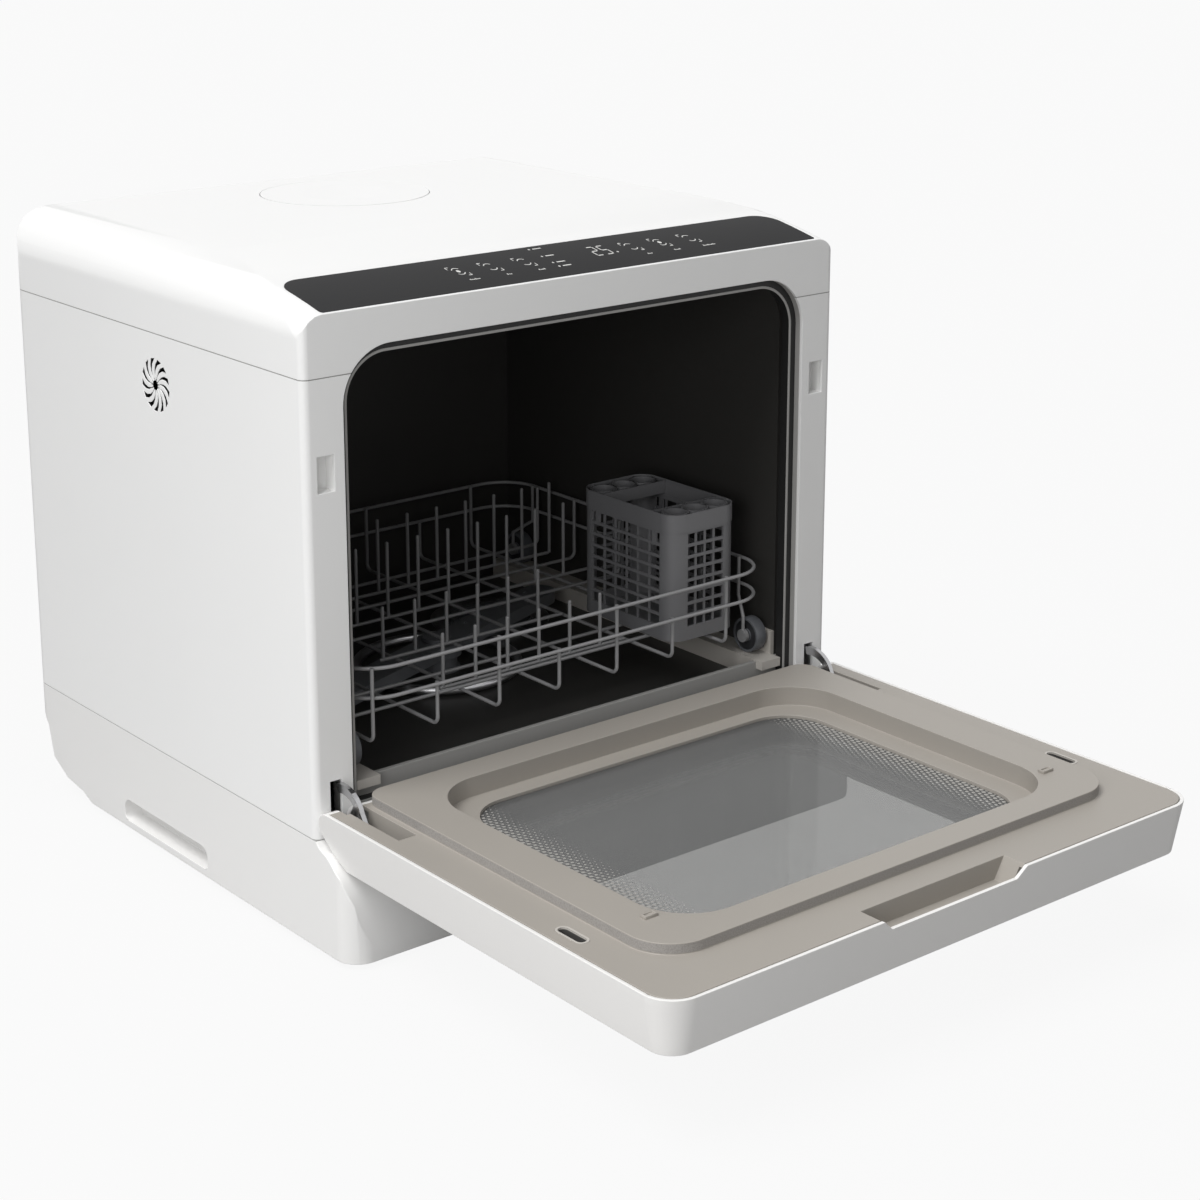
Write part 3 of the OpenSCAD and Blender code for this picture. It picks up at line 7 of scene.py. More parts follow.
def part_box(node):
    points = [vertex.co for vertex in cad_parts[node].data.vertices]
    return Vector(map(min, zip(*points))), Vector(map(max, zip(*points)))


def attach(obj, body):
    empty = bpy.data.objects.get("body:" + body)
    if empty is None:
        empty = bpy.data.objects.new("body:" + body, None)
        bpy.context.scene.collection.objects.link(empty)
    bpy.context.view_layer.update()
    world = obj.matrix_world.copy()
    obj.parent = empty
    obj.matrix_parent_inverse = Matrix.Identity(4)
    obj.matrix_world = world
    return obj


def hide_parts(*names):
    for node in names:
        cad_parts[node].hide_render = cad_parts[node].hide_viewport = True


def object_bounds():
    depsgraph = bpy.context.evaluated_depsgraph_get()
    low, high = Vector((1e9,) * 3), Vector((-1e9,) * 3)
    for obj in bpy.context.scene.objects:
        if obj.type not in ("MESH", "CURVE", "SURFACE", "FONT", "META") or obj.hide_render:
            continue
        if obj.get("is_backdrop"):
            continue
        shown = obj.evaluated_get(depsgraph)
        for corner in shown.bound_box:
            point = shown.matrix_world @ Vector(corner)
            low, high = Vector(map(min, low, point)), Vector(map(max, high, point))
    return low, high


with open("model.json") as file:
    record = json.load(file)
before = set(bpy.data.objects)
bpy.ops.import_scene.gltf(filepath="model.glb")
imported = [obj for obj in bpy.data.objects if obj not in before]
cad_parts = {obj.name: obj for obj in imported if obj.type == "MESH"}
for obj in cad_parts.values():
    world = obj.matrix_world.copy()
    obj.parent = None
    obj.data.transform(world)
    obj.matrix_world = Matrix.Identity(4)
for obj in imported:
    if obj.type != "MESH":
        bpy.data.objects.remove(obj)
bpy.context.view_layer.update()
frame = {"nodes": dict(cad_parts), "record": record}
nodes = frame["nodes"]
frontY = -0.021  # front face of the casing
print("frame loaded:", len(nodes), "nodes")


# Camera
camera = {"place": (-0.9323, -1.1720, 0.6716), "yaw": 39.25, "pitch": 14.39, "lens": 73.34, "film": 36,
          "shift": -0.14, "near": 0.05, "far": 50}
eye = bpy.data.cameras.new("camera")
eye.lens = camera["lens"]
eye.sensor_width = camera["film"]
eye.shift_y = camera["shift"]
eye.clip_start = camera["near"]
eye.clip_end = camera["far"]
holder = bpy.data.objects.new("camera", eye)
bpy.context.scene.collection.objects.link(holder)
holder.location = camera["place"]
holder.rotation_euler = (math.radians(90 - camera["pitch"]), 0, -math.radians(camera["yaw"]))
bpy.context.scene.camera = holder
bpy.context.scene.view_settings.view_transform = "Standard"


# A shader socket: sums on it add their Math nodes
class Wire:
    def __init__(self, tree, socket):
        self.tree = tree
        self.socket = socket

    def node(self, kind, settings=None, inputs=None, output=0):
        made = self.tree.nodes.new(kind)
        for key, value in (settings or {}).items():
            if key == "stops":
                for stop in value[2:]:
                    made.color_ramp.elements.new(stop[0])
                for element, stop in zip(made.color_ramp.elements, value):
                    element.position = stop[0]
                    element.color = (*stop[1], 1)
            else:
                setattr(made, key, value)
        for key, value in (inputs or {}).items():
            if isinstance(value, Wire):
                self.tree.links.new(value.socket, made.inputs[key])
            else:
                made.inputs[key].default_value = value
        return Wire(self.tree, made.outputs[output])

    def math(self, operation, first, second=0.0):
        return self.node("ShaderNodeMath", {"operation": operation}, {0: first, 1: second})

    def __add__(self, other):
        return self.math("ADD", self, other)

    def __radd__(self, other):
        return self.math("ADD", other, self)

    def __sub__(self, other):
        return self.math("SUBTRACT", self, other)

    def __rsub__(self, other):
        return self.math("SUBTRACT", other, self)

    def __mul__(self, other):
        return self.math("MULTIPLY", self, other)

    def __rmul__(self, other):
        return self.math("MULTIPLY", other, self)

    def __truediv__(self, other):
        return self.math("DIVIDE", self, other)

    def __lt__(self, other):
        return self.math("LESS_THAN", self, other)

    def __gt__(self, other):
        return self.math("GREATER_THAN", self, other)

    def __abs__(self):
        return self.math("ABSOLUTE", self)

    def axes(self):
        split = self.tree.nodes.new("ShaderNodeSeparateXYZ")
        self.tree.links.new(self.socket, split.inputs[0])
        return [Wire(self.tree, out) for out in split.outputs]

    def noise(self, scale, detail):
        return self.node("ShaderNodeTexNoise", None, {"Vector": self, "Scale": scale, "Detail": detail})

    def ramp(self, stops):
        return self.node("ShaderNodeValToRGB", {"stops": stops}, {"Fac": self})

    def blend(self, first, second):
        return self.node("ShaderNodeMix", {"data_type": "RGBA"},
                         {0: self, 6: first if isinstance(first, Wire) else (*first, 1),
                          7: second if isinstance(second, Wire) else (*second, 1)}, 2)

    def bump(self, depth):
        return self.node("ShaderNodeBump", None, {"Height": self, "Distance": depth})


def startFinish(name, fixed):
    finish = bpy.data.materials.new(name)
    finish.use_nodes = True
    shader = finish.node_tree.nodes["Principled BSDF"]
    for key, value in fixed.items():
        shader.inputs[key].default_value = value
    place = Wire(finish.node_tree, finish.node_tree.nodes.new("ShaderNodeTexCoord").outputs["Object"])
    return finish, shader, place


def feed(shader, **wires):
    for key, wire in wires.items():
        wire.tree.links.new(wire.socket, shader.inputs[key.replace("_", " ")])


# The surface goes from the first shader to the second as the factor goes from 0 to 1
def mixShaders(factor, first, second):
    tree = factor.tree
    mixed = tree.nodes.new("ShaderNodeMixShader")
    for number, socket in enumerate((factor.socket, first, second)):
        tree.links.new(socket, mixed.inputs[number])
    tree.links.new(mixed.outputs[0], tree.nodes["Material Output"].inputs["Surface"])


def toned(colour, share):
    return tuple(min(1, c * share) for c in colour)


# A moulded or painted finish: colour and gloss drift a little, and a fine grain stands up
def mouldedFinish(name, colour, rough, grain=2200, depth=0.00002, drift=0.03, patch=14, fixed=None):
    finish, shader, place = startFinish(name, fixed or {})
    cloud = place.noise(patch, 3)
    tone = cloud.blend(toned(colour, 1 - drift), toned(colour, 1 + drift))
    feed(shader, Base_Color=tone, Roughness=rough - 0.04 + 0.08 * cloud,
         Normal=place.noise(grain, 2).bump(depth))
    return finish


paintCoat = {"Coat Weight": 0.15, "Coat Roughness": 0.12}
finishes = {
    "door_white": mouldedFinish("doorWhite", (0.84, 0.83, 0.815), 0.3, 1500, 0.000004, 0.006, 9, paintCoat),
    "rear_sheet": mouldedFinish("rearSheet", (0.66, 0.66, 0.65), 0.45, 900, 0.00003, 0.01),
    "foot_rubber": mouldedFinish("footRubber", (0.03, 0.03, 0.03), 0.8, 900, 0.00004),
    "seal_rubber": mouldedFinish("sealRubber", (0.012, 0.012, 0.012), 0.5, 1200, 0.00002),
    "circuit_board": mouldedFinish("circuitBoard", (0.03, 0.12, 0.05), 0.4, 300, 0.0001),
    "frame_grey": mouldedFinish("frameGrey", (0.33, 0.325, 0.315), 0.45, 1400, 0.00003),
    "tub_dark": mouldedFinish("tubDark", (0.032, 0.031, 0.029), 0.42, 700, 0.00003),
    "water_plastic": mouldedFinish("waterPlastic", (0.72, 0.74, 0.75), 0.35, 500, 0.00002),
    "pump_plastic": mouldedFinish("pumpPlastic", (0.02, 0.02, 0.022), 0.5, 900, 0.00004),
    "spray_plastic": mouldedFinish("sprayPlastic", (0.14, 0.145, 0.155), 0.45, 1100, 0.00003),
    "hose_rubber": mouldedFinish("hoseRubber", (0.02, 0.02, 0.02), 0.6, 600, 0.00005),
    "steel": mouldedFinish("satinSteel", (0.55, 0.55, 0.56), 0.3, 1600, 0.00001, 0.03, 40,
                           {"Metallic": 1.0}),
    "hinge_chrome": mouldedFinish("hingeChrome", (0.46, 0.46, 0.47), 0.24, 300, 0.000004, 0.05, 60,
                                  {"Metallic": 1.0}),
    "rack_wire": mouldedFinish("rackWire", (0.29, 0.29, 0.295), 0.36, 700, 0.00003, 0.05),
    "basket_grey": mouldedFinish("basketGrey", (0.165, 0.165, 0.172), 0.42, 1300, 0.00003, 0.04),
    "print_white": mouldedFinish("printWhite", (0.70, 0.70, 0.68), 0.5, 2000, 0.000002, 0.04, 60),
    "pocket_pale": mouldedFinish("pocketPale", (0.88, 0.88, 0.87), 0.45, 1300, 0.00002),
    "runner_pale": mouldedFinish("runnerPale", (0.50, 0.475, 0.44), 0.4, 1300, 0.00002),
    "bead_grey": mouldedFinish("beadGrey", (0.36, 0.355, 0.345), 0.5, 1300, 0.00002),
}


# White casing with a fine line of painted shade along its two seam gaps. The inner faces of the vent's slots
# are painted dark, as shade that falls inside them.
casing = {"drift": 0.006, "rough": 0.26, "grain": 1500, "depth": 0.000004}
seamShade = {"low": 0.074, "high": 0.355, "half": 0.00032, "colour": (0.33, 0.33, 0.32)}
ventShade = {"y": 0.149, "z": 0.322, "reach": 0.022, "skin": -0.2096, "colour": (0.015, 0.015, 0.015)}


def casingFinish(name, tint, vented):
    finish, shader, place = startFinish(name, paintCoat)
    x, y, z = place.axes()
    cloud = place.noise(9, 3)
    tone = cloud.blend(toned(tint, 1 - casing["drift"]), toned(tint, 1 + casing["drift"]))
    # painted shade: a dark line where each seam's gap would lie in shadow
    for height in (seamShade["low"], seamShade["high"]):
        tone = (abs(z - height) < seamShade["half"]).blend(tone, seamShade["colour"])
    # painted shade: the inner faces of the vent's slots are darkened where shade falls in them
    if vented:
        across = y - ventShade["y"]
        up = z - ventShade["z"]
        near = across * across + up * up < ventShade["reach"] ** 2
        tone = ((x > ventShade["skin"]) * near).blend(tone, ventShade["colour"])
    feed(shader, Base_Color=tone, Roughness=casing["rough"] + 0.08 * cloud,
         Normal=place.noise(casing["grain"], 2).bump(casing["depth"]))
    return finish


finishes["casing_white"] = casingFinish("casingWhite", (0.86, 0.86, 0.855), False)
finishes["vented_side"] = casingFinish("ventedSide", (0.86, 0.86, 0.855), True)
finishes["base_white"] = casingFinish("baseWhite", (0.83, 0.825, 0.815), False)


# Warm grey liner: the outer wall of its raised frame is darker and has a coarse grain
liner = {"dark": (0.335, 0.312, 0.282), "pale": (0.355, 0.33, 0.297)}
wall = {"low": 0.0953, "high": 0.1004, "side": 0.165, "end": -0.288, "colour": (0.30, 0.285, 0.27)}


def linerFinish():
    finish, shader, place = startFinish("linerGrey", {})
    x, y, z = place.axes()
    cloud = place.noise(14, 3)
    grain = place.noise(1300, 2)
    speck = place.noise(1500, 1)
    outer = place.math("MAXIMUM", abs(x) > wall["side"], y < wall["end"])
    rough = outer * (z > wall["low"]) * (z < wall["high"])
    tone = cloud.blend(liner["dark"], liner["pale"])
    coarse = speck.blend(toned(wall["colour"], 0.62), toned(wall["colour"], 1.3))
    feed(shader, Base_Color=rough.blend(tone, coarse), Roughness=0.46 + 0.08 * cloud + 0.2 * rough,
         Normal=(grain + 4.0 * rough * speck).bump(0.00004))
    return finish


finishes["liner_grey"] = linerFinish()


# Rims of the door's slots: painted shade darkens them below their lips
# inside: the colour of the painted shade below the lips
slotRim = {"top": 0.095, "lip": 0.0016, "inside": (0.07, 0.068, 0.065), "dark": (0.49, 0.465, 0.43),
           "pale": (0.51, 0.485, 0.45)}


def slotFinish():
    finish, shader, place = startFinish("slotRim", {})
    x, y, z = place.axes()
    cloud = place.noise(40, 2)
    tone = cloud.blend(slotRim["dark"], slotRim["pale"])
    # painted shade: below the lip the slot's inside gets a dark colour
    inside = z < slotRim["top"] - slotRim["lip"]
    feed(shader, Base_Color=inside.blend(tone, slotRim["inside"]), Roughness=0.44 + 0.08 * cloud,
         Normal=place.noise(1300, 2).bump(0.00002))
    return finish


finishes["slot_rim"] = slotFinish()


# Wheels: painted shade darkens the dish between the tyre and the hub, where the mesh's own attribute says
# dish: the colour of the painted shade in the wheel's dish
wheelTone = {"dark": (0.120, 0.126, 0.137), "pale": (0.130, 0.136, 0.148), "dish": (0.030, 0.031, 0.034)}


def wheelFinish():
    finish, shader, place = startFinish("wheelGrey", {})
    cloud = place.noise(40, 2)
    dishShade = place.node("ShaderNodeAttribute", {"attribute_name": "dish"}, None, "Fac")
    tyre = cloud.blend(wheelTone["dark"], wheelTone["pale"])
    # painted shade: the attribute blends the dish towards the dark colour
    feed(shader, Base_Color=dishShade.blend(tyre, wheelTone["dish"]), Roughness=0.38 + 0.08 * cloud,
         Normal=place.noise(1300, 2).bump(0.00002))
    return finish


finishes["wheel_grey"] = wheelFinish()


# Black glass with a painted sheen: it is a little paler towards the lit left end
stripSheen = {"left": -0.2, "fade": 2.4, "pale": (0.036, 0.036, 0.037), "dark": (0.030, 0.030, 0.031)}


def stripFinish():
    finish, shader, place = startFinish("stripGlass", {"Specular IOR Level": 0.01})
    x, y, z = place.axes()
    cloud = place.noise(6, 2)
    # painted sheen: the glass colour runs from pale at the left to dark at the right
    along = (x - stripSheen["left"]) * stripSheen["fade"]
    tone = (along + 0.1 * cloud).ramp([(0.0, stripSheen["pale"]), (1.0, stripSheen["dark"])])
    feed(shader, Base_Color=tone, Roughness=0.2 + 0.06 * cloud)
    return finish


finishes["strip_glass"] = stripFinish()


# Hazy glass. The inner pane has rows of printed dots that shrink away from its left and right edges.
glass = {"veil": 0.17, "drift": 0.03, "dark": (0.46, 0.465, 0.47), "pale": (0.54, 0.545, 0.545),
         "through": (0.78, 0.78, 0.775, 1)}
dots = {"pitch": 0.0036, "reach": 0.030, "half": 0.138, "size": 0.46, "veil": 0.8,
        "colour": (0.42, 0.41, 0.39), "ahead": 200.0}  # ahead: whole cells that keep the sums above zero


def windowFinish(name, printed):
    finish, shader, place = startFinish(name, {"IOR": 1.45})
    x, y, z = place.axes()
    cloud = place.noise(5, 2)
    veil = glass["veil"] + glass["drift"] * cloud
    tone = cloud.blend(glass["dark"], glass["pale"])
    if printed:
        down = y / dots["pitch"] + dots["ahead"]
        shift = 0.5 * place.math("MODULO", place.math("FLOOR", down), 2.0)
        cellX = place.math("FRACT", x / dots["pitch"] + shift + dots["ahead"]) - 0.5
        cellY = place.math("FRACT", down) - 0.5
        spread = place.math("SQRT", cellX * cellX + cellY * cellY)
        edge = (dots["half"] - abs(x)) / dots["reach"]
        dot = spread < dots["size"] * (1 - edge)
        veil = veil + dots["veil"] * dot
        tone = dot.blend(tone, dots["colour"])
    feed(shader, Base_Color=tone, Roughness=0.05 + 0.02 * cloud)
    clear = place.node("ShaderNodeBsdfTransparent", None, {"Color": glass["through"]})
    mixShaders(veil, clear.socket, shader.outputs[0])
    return finish


finishes["window_glass"] = windowFinish("windowGlass", True)
finishes["outer_pane"] = windowFinish("outerPane", False)


def dress(piece, finish):
    piece.data.materials.clear()
    piece.data.materials.append(finishes[finish])


slotOf = {part["node"]: part["material_slot"] for part in frame["record"]["subparts"]}
bodyOf = {node: body for body, members in frame["record"]["behaviour"]["bodies"].items() for node in members}
finishOf = {"outer_glass": "outer_pane", "latch_pockets": "pocket_pale", "left_side": "vented_side",
            "door_panel": "door_white", "base_tray": "base_white", "slot_rims": "slot_rim",
            "tub_runners": "runner_pale"}
for name, slot in slotOf.items():
    dress(nodes[name], finishOf.get(name, slot))
print("finishes:", len(finishes))


# Modelling helpers
def wipe():
    if bpy.context.object and bpy.context.object.mode != "OBJECT":
        bpy.ops.object.mode_set(mode="OBJECT")
    bpy.ops.object.select_all(action="DESELECT")


def activate(piece):
    wipe()
    piece.select_set(True)
    bpy.context.view_layer.objects.active = piece


def startPick(piece, kind):
    activate(piece)
    bpy.ops.object.mode_set(mode="EDIT")
    bpy.ops.mesh.select_mode(type=kind)
    bpy.ops.mesh.select_all(action="DESELECT")
    bpy.ops.object.mode_set(mode="OBJECT")


def pickFaces(piece, test):
    startPick(piece, "FACE")
    for face in piece.data.polygons:
        face.select = test(face.center, face.normal)
    bpy.ops.object.mode_set(mode="EDIT")


def pickPoints(piece, test):
    startPick(piece, "VERT")
    for point in piece.data.vertices:
        point.select = test(point.co)
    bpy.ops.object.mode_set(mode="EDIT")


def pickEdges(piece, test):
    startPick(piece, "EDGE")
    points = piece.data.vertices
    for edge in piece.data.edges:
        a, b = (points[i].co for i in edge.vertices)
        edge.select = test(a, b)
    bpy.ops.object.mode_set(mode="EDIT")


def applyPlace(piece):
    activate(piece)
    bpy.ops.object.transform_apply(location=True, rotation=True, scale=True)


def applyModifier(piece, kind, **settings):
    activate(piece)
    change = piece.modifiers.new("change", kind)
    for key, value in settings.items():
        setattr(change, key, value)
    bpy.ops.object.modifier_apply(modifier="change")


def bevelEdges(piece, width, angle=35):
    applyModifier(piece, "BEVEL", width=width, segments=2, limit_method="ANGLE",
                  angle_limit=math.radians(angle), use_clamp_overlap=False)


# Walls go inwards from the surface
def addWall(piece, thickness):
    applyModifier(piece, "SOLIDIFY", thickness=thickness, offset=-1)


def smooth(piece, angle=35):
    activate(piece)
    bpy.ops.object.shade_smooth_by_angle(angle=math.radians(angle))


# Flat faces keep their own normal, and only the bevels between them turn
def levelNormals(piece):
    applyModifier(piece, "WEIGHTED_NORMAL", keep_sharp=True, weight=100)


def joinPieces(pieces, name):
    activate(pieces[0])
    for piece in pieces[1:]:
        piece.select_set(True)
    bpy.ops.object.join()
    joined = bpy.context.object
    joined.name = name
    joined.data.name = name
    return joined


def settle(piece, name, body, slot, replaced=(), finish=None):
    piece.name = name
    piece.data.name = name
    dress(piece, finish or slot)
    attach(piece, body)
    if replaced:
        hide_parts(*replaced)


# Shells that keep their CAD shape, with their sharp edges eased by these widths
easing = {"top_cover": 0.0004, "left_side": 0.0003, "right_side": 0.0003, "base_tray": 0.0005,
          "door_panel": 0.0005, "door_liner": 0.0004, "mouth_frame": 0.0006}
flattened = ("door_liner",)  # flat stretches become single faces first, so that no sliver crosses them
weld = 0.000003


def easedShell(node, width):
    shell = bpy.data.objects.new(node + "_shell", nodes[node].data.copy())
    bpy.context.scene.collection.objects.link(shell)
    activate(shell)
    bpy.ops.object.mode_set(mode="EDIT")
    bpy.ops.mesh.select_all(action="SELECT")
    bpy.ops.mesh.remove_doubles(threshold=weld)
    if node in flattened:
        bpy.ops.mesh.dissolve_limited(angle_limit=math.radians(0.5))
    bpy.ops.mesh.tris_convert_to_quads(face_threshold=math.radians(1), shape_threshold=math.radians(180))
    bpy.ops.object.mode_set(mode="OBJECT")
    bevelEdges(shell, width)
    smooth(shell)
    levelNormals(shell)
    settle(shell, node + "_shell", bodyOf[node], slotOf[node], (node,), finishOf.get(node))


for name, width in easing.items():
    easedShell(name, width)
print("shells eased:", len(easing))


# Marks on the control strip
marks = {"leftIcons": (-0.0783, -0.0542, -0.0283), "rightIcons": (0.0576, 0.0817, 0.1067), "iconY": 0.0295,
         "ring": 0.0036, "line": 0.00055, "corner": 0.0024, "reach": 0.0052, "dot": 0.0013,
         "arcStarts": (-30, 150), "arcSweep": 105, "arcSteps": 11, "sliver": 0.00002,
         "captions": ((-0.076, 0.0075), (-0.050, 0.0045), (-0.025, 0.0055), (0.062, 0.0045),
                      (0.085, 0.0055), (0.112, 0.010)), "captionY": 0.0190, "dash": 0.0013,
         "dashLong": 0.0009, "dashTall": 0.0012, "dashLow": 0.0008,
         "list": (0.0420, 0.0325, 0.0245, 0.0200), "listX": -0.005, "listSize": (0.0065, 0.0009),
         "listDot": 0.006, "smallDot": 0.0007, "digits": ((0.0285, 2), (0.0365, 5)), "digitY": 0.0300,
         "digitH": 0.0100, "digitW": 0.0048, "digitLine": 0.000825, "digitGap": 0.0008, "slant": 0.12,
         "point": (0.0427, 0.026), "stretch": 1.4, "crownR": 0.619, "crownY": 0.1494, "crownZ": -0.2087,
         "lift": 0.00006}
markPieces = []


# A flat bar at a place on the strip, measured from the front face
def bar(x, y, length, width):
    wipe()
    bpy.ops.mesh.primitive_plane_add(size=1, location=(x, y, 0))
    piece = bpy.context.object
    piece.scale = (length, width, 1)
    applyPlace(piece)
    bpy.ops.object.mode_set(mode="EDIT")
    bpy.ops.mesh.select_all(action="SELECT")
    bpy.ops.mesh.subdivide(number_cuts=3)
    bpy.ops.object.mode_set(mode="OBJECT")
    markPieces.append(piece)


# A part of a flat ring: a short bar spun about the ring's middle
def arc(x, y, radius, start, sweep):
    wipe()
    middle = Vector((x + radius * math.cos(start), y + radius * math.sin(start), 0))
    bpy.ops.mesh.primitive_plane_add(size=1, location=middle)
    piece = bpy.context.object
    piece.scale = (marks["line"], marks["sliver"], 1)
    piece.rotation_euler = (0, 0, start)
    applyPlace(piece)
    ahead = Vector((-math.sin(start), math.cos(start), 0))
    pickEdges(piece, lambda a, b: ((a + b) / 2 - middle).dot(ahead) > marks["sliver"] / 4)
    bpy.ops.mesh.spin(steps=marks["arcSteps"], angle=sweep, center=(x, y, 0), axis=(0, 0, 1))
    bpy.ops.object.mode_set(mode="OBJECT")
    markPieces.append(piece)


def disc(x, y, radius):
    wipe()
    bpy.ops.mesh.primitive_circle_add(vertices=24, radius=radius, fill_type="NGON", location=(x, y, 0))
    applyPlace(bpy.context.object)
    markPieces.append(bpy.context.object)


def iconMark(x, y, filled):
    reach = marks["reach"]
    long = marks["corner"]
    for side in (-1, 1):
        bar(x + side * (reach - long / 2), y - side * reach, long, marks["line"])
        bar(x + side * reach, y - side * (reach - long / 2), marks["line"], long)
    for start in marks["arcStarts"]:
        arc(x, y, marks["ring"], math.radians(start), math.radians(marks["arcSweep"]))
    if filled:
        disc(x, y, marks["dot"])


# Seven-segment digit: which of its bars are lit, top first and clockwise, the middle one last
segmentsOf = {2: "1101101", 5: "1011011"}


def digit(x, y, value):
    high = marks["digitH"] / 2
    wide = marks["digitW"] / 2
    thick = marks["digitLine"]
    gap = marks["digitGap"]
    places = [(0, high, 0), (wide, high / 2, 1), (wide, -high / 2, 1), (0, -high, 0), (-wide, -high / 2, 1),
              (-wide, high / 2, 1), (0, 0, 0)]
    for lit, (dx, dy, upright) in zip(segmentsOf[value], places):
        if lit == "1":
            size = (thick, high - gap) if upright else (2 * wide - gap, thick)
            bar(x + dx + marks["slant"] * dy, y + dy, *size)


for number, x in enumerate(marks["leftIcons"]):
    iconMark(x, marks["iconY"], number == 0)
for number, x in enumerate(marks["rightIcons"]):
    iconMark(x, marks["iconY"], number == 1)
for x, length in marks["captions"]:
    count = round(length / marks["dash"])
    for number in range(count):
        tall = marks["dashLow"] if number % 3 else marks["dashTall"]
        along = (number + 0.5 - count / 2) * marks["dash"]
        bar(x + along, marks["captionY"] + tall / 2, marks["dashLong"], tall)
for y in marks["list"]:
    disc(marks["listX"] - marks["listDot"], y, marks["smallDot"])
    bar(marks["listX"], y, *marks["listSize"])
for x, value in marks["digits"]:
    digit(x, marks["digitY"], value)
disc(*marks["point"], marks["smallDot"])
stripMarks = joinPieces(markPieces, "control_marks")
for point in stripMarks.data.vertices:
    point.co.y = marks["iconY"] + marks["stretch"] * (point.co.y - marks["iconY"])
    away = point.co.y - marks["crownY"]
    point.co.z = marks["crownZ"] + math.sqrt(marks["crownR"] ** 2 - away ** 2) + marks["lift"]
    point.co.y += frontY
settle(stripMarks, "control_marks", "cabinet", "strip_glass", finish="print_white")
print("control marks:", len(stripMarks.data.polygons), "faces")


# Bead along the gasket's inner edge
bead = {"halfWidth": 0.1825, "low": 0.082, "high": 0.3695, "corner": 0.034, "foot": 0.006, "inset": 0.0046,
        "wide": 0.0017, "front": 0.00615, "thick": 0.0007, "edge": 0.0002, "near": 0.0001}


def makeBead():
    wipe()
    half = bead["halfWidth"] - bead["inset"]
    low = bead["low"] + bead["inset"]
    high = bead["high"] - bead["inset"]
    bpy.ops.mesh.primitive_plane_add(size=1, location=(0, frontY + bead["front"], (low + high) / 2),
                                     rotation=(math.pi / 2, 0, 0))
    ring = bpy.context.object
    ring.scale = (2 * half, high - low, 1)
    applyPlace(ring)
    for level, radius in ((high, bead["corner"] - bead["inset"]), (low, bead["foot"])):
        pickPoints(ring, lambda c: max(abs(c.z - level), abs(abs(c.x) - half)) < bead["near"])
        bpy.ops.mesh.bevel(offset=radius, segments=16, affect="VERTICES")
        bpy.ops.object.mode_set(mode="OBJECT")
    pickFaces(ring, lambda c, n: True)
    bpy.ops.mesh.inset(thickness=bead["wide"])
    bpy.ops.mesh.delete(type="FACE")
    bpy.ops.mesh.select_all(action="SELECT")
    bpy.ops.mesh.extrude_region_move(TRANSFORM_OT_translate={"value": (0, bead["thick"], 0)})
    bpy.ops.mesh.select_all(action="SELECT")
    bpy.ops.mesh.normals_make_consistent(inside=False)
    bpy.ops.object.mode_set(mode="OBJECT")
    bevelEdges(ring, bead["edge"])
    smooth(ring)
    settle(ring, "gasket_bead", "cabinet", "seal_rubber", finish="bead_grey")
    return ring


made = makeBead()
print("gasket bead:", len(made.data.polygons), "faces")


# Cutlery basket
basket = {"corner": 0.012, "wall": 0.0019, "step": 0.0005, "band": 0.0125, "foot": 0.008, "edge": 0.0016,
          "rows": 8, "endColumns": 4, "sideColumns": 6, "barHigh": 0.0021, "barThick": 0.0011,
          "barSeat": 0.55, "postWide": 0.0018, "postThick": 0.0009, "lap": 0.002, "ringOut": 0.0093,
          "ringIn": 0.0081, "ringHigh": 0.009, "ringPitch": 0.0176, "ringFromEnd": 0.0122,
          "ringDrop": 0.0006, "web": 0.0013, "webHigh": 0.006, "webFromEnd": 0.0235, "cross": 0.003,
          "clip": (0.0012, 0.0045, 0.009), "clipY": 0.030}


def block(middle, size):
    wipe()
    bpy.ops.mesh.primitive_cube_add(size=1, location=middle)
    piece = bpy.context.object
    piece.scale = size
    applyPlace(piece)
    return piece


def basketShell(low, high):
    step = basket["step"]
    size = high - low
    shell = block((low + high) / 2, (size.x - 2 * step, size.y - 2 * step, size.z))
    pickEdges(shell, lambda a, b: abs(a.z - b.z) > size.z / 2)
    bpy.ops.mesh.bevel(offset=basket["corner"], segments=8, affect="EDGES")
    bpy.ops.object.mode_set(mode="OBJECT")
    pickFaces(shell, lambda c, n: n.z > 0.9)
    bpy.ops.mesh.delete(type="FACE")
    footTop = low.z + basket["foot"]
    bandFoot = high.z - basket["band"]
    for height in (footTop, bandFoot):
        bpy.ops.mesh.select_all(action="SELECT")
        bpy.ops.mesh.bisect(plane_co=(0, 0, height), plane_no=(0, 0, 1))
    bpy.ops.object.mode_set(mode="OBJECT")
    pickFaces(shell, lambda c, n: max(abs(n.x), abs(n.y)) > 0.999 and footTop < c.z < bandFoot)
    bpy.ops.mesh.inset(thickness=basket["edge"], use_individual=True)
    bpy.ops.mesh.delete(type="FACE")
    bpy.ops.object.mode_set(mode="OBJECT")
    pickFaces(shell, lambda c, n: c.z > bandFoot and abs(n.z) < 0.1)
    bpy.ops.mesh.extrude_region_shrink_fatten(TRANSFORM_OT_shrink_fatten={"value": step})
    bpy.ops.object.mode_set(mode="OBJECT")
    addWall(shell, basket["wall"])
    return shell


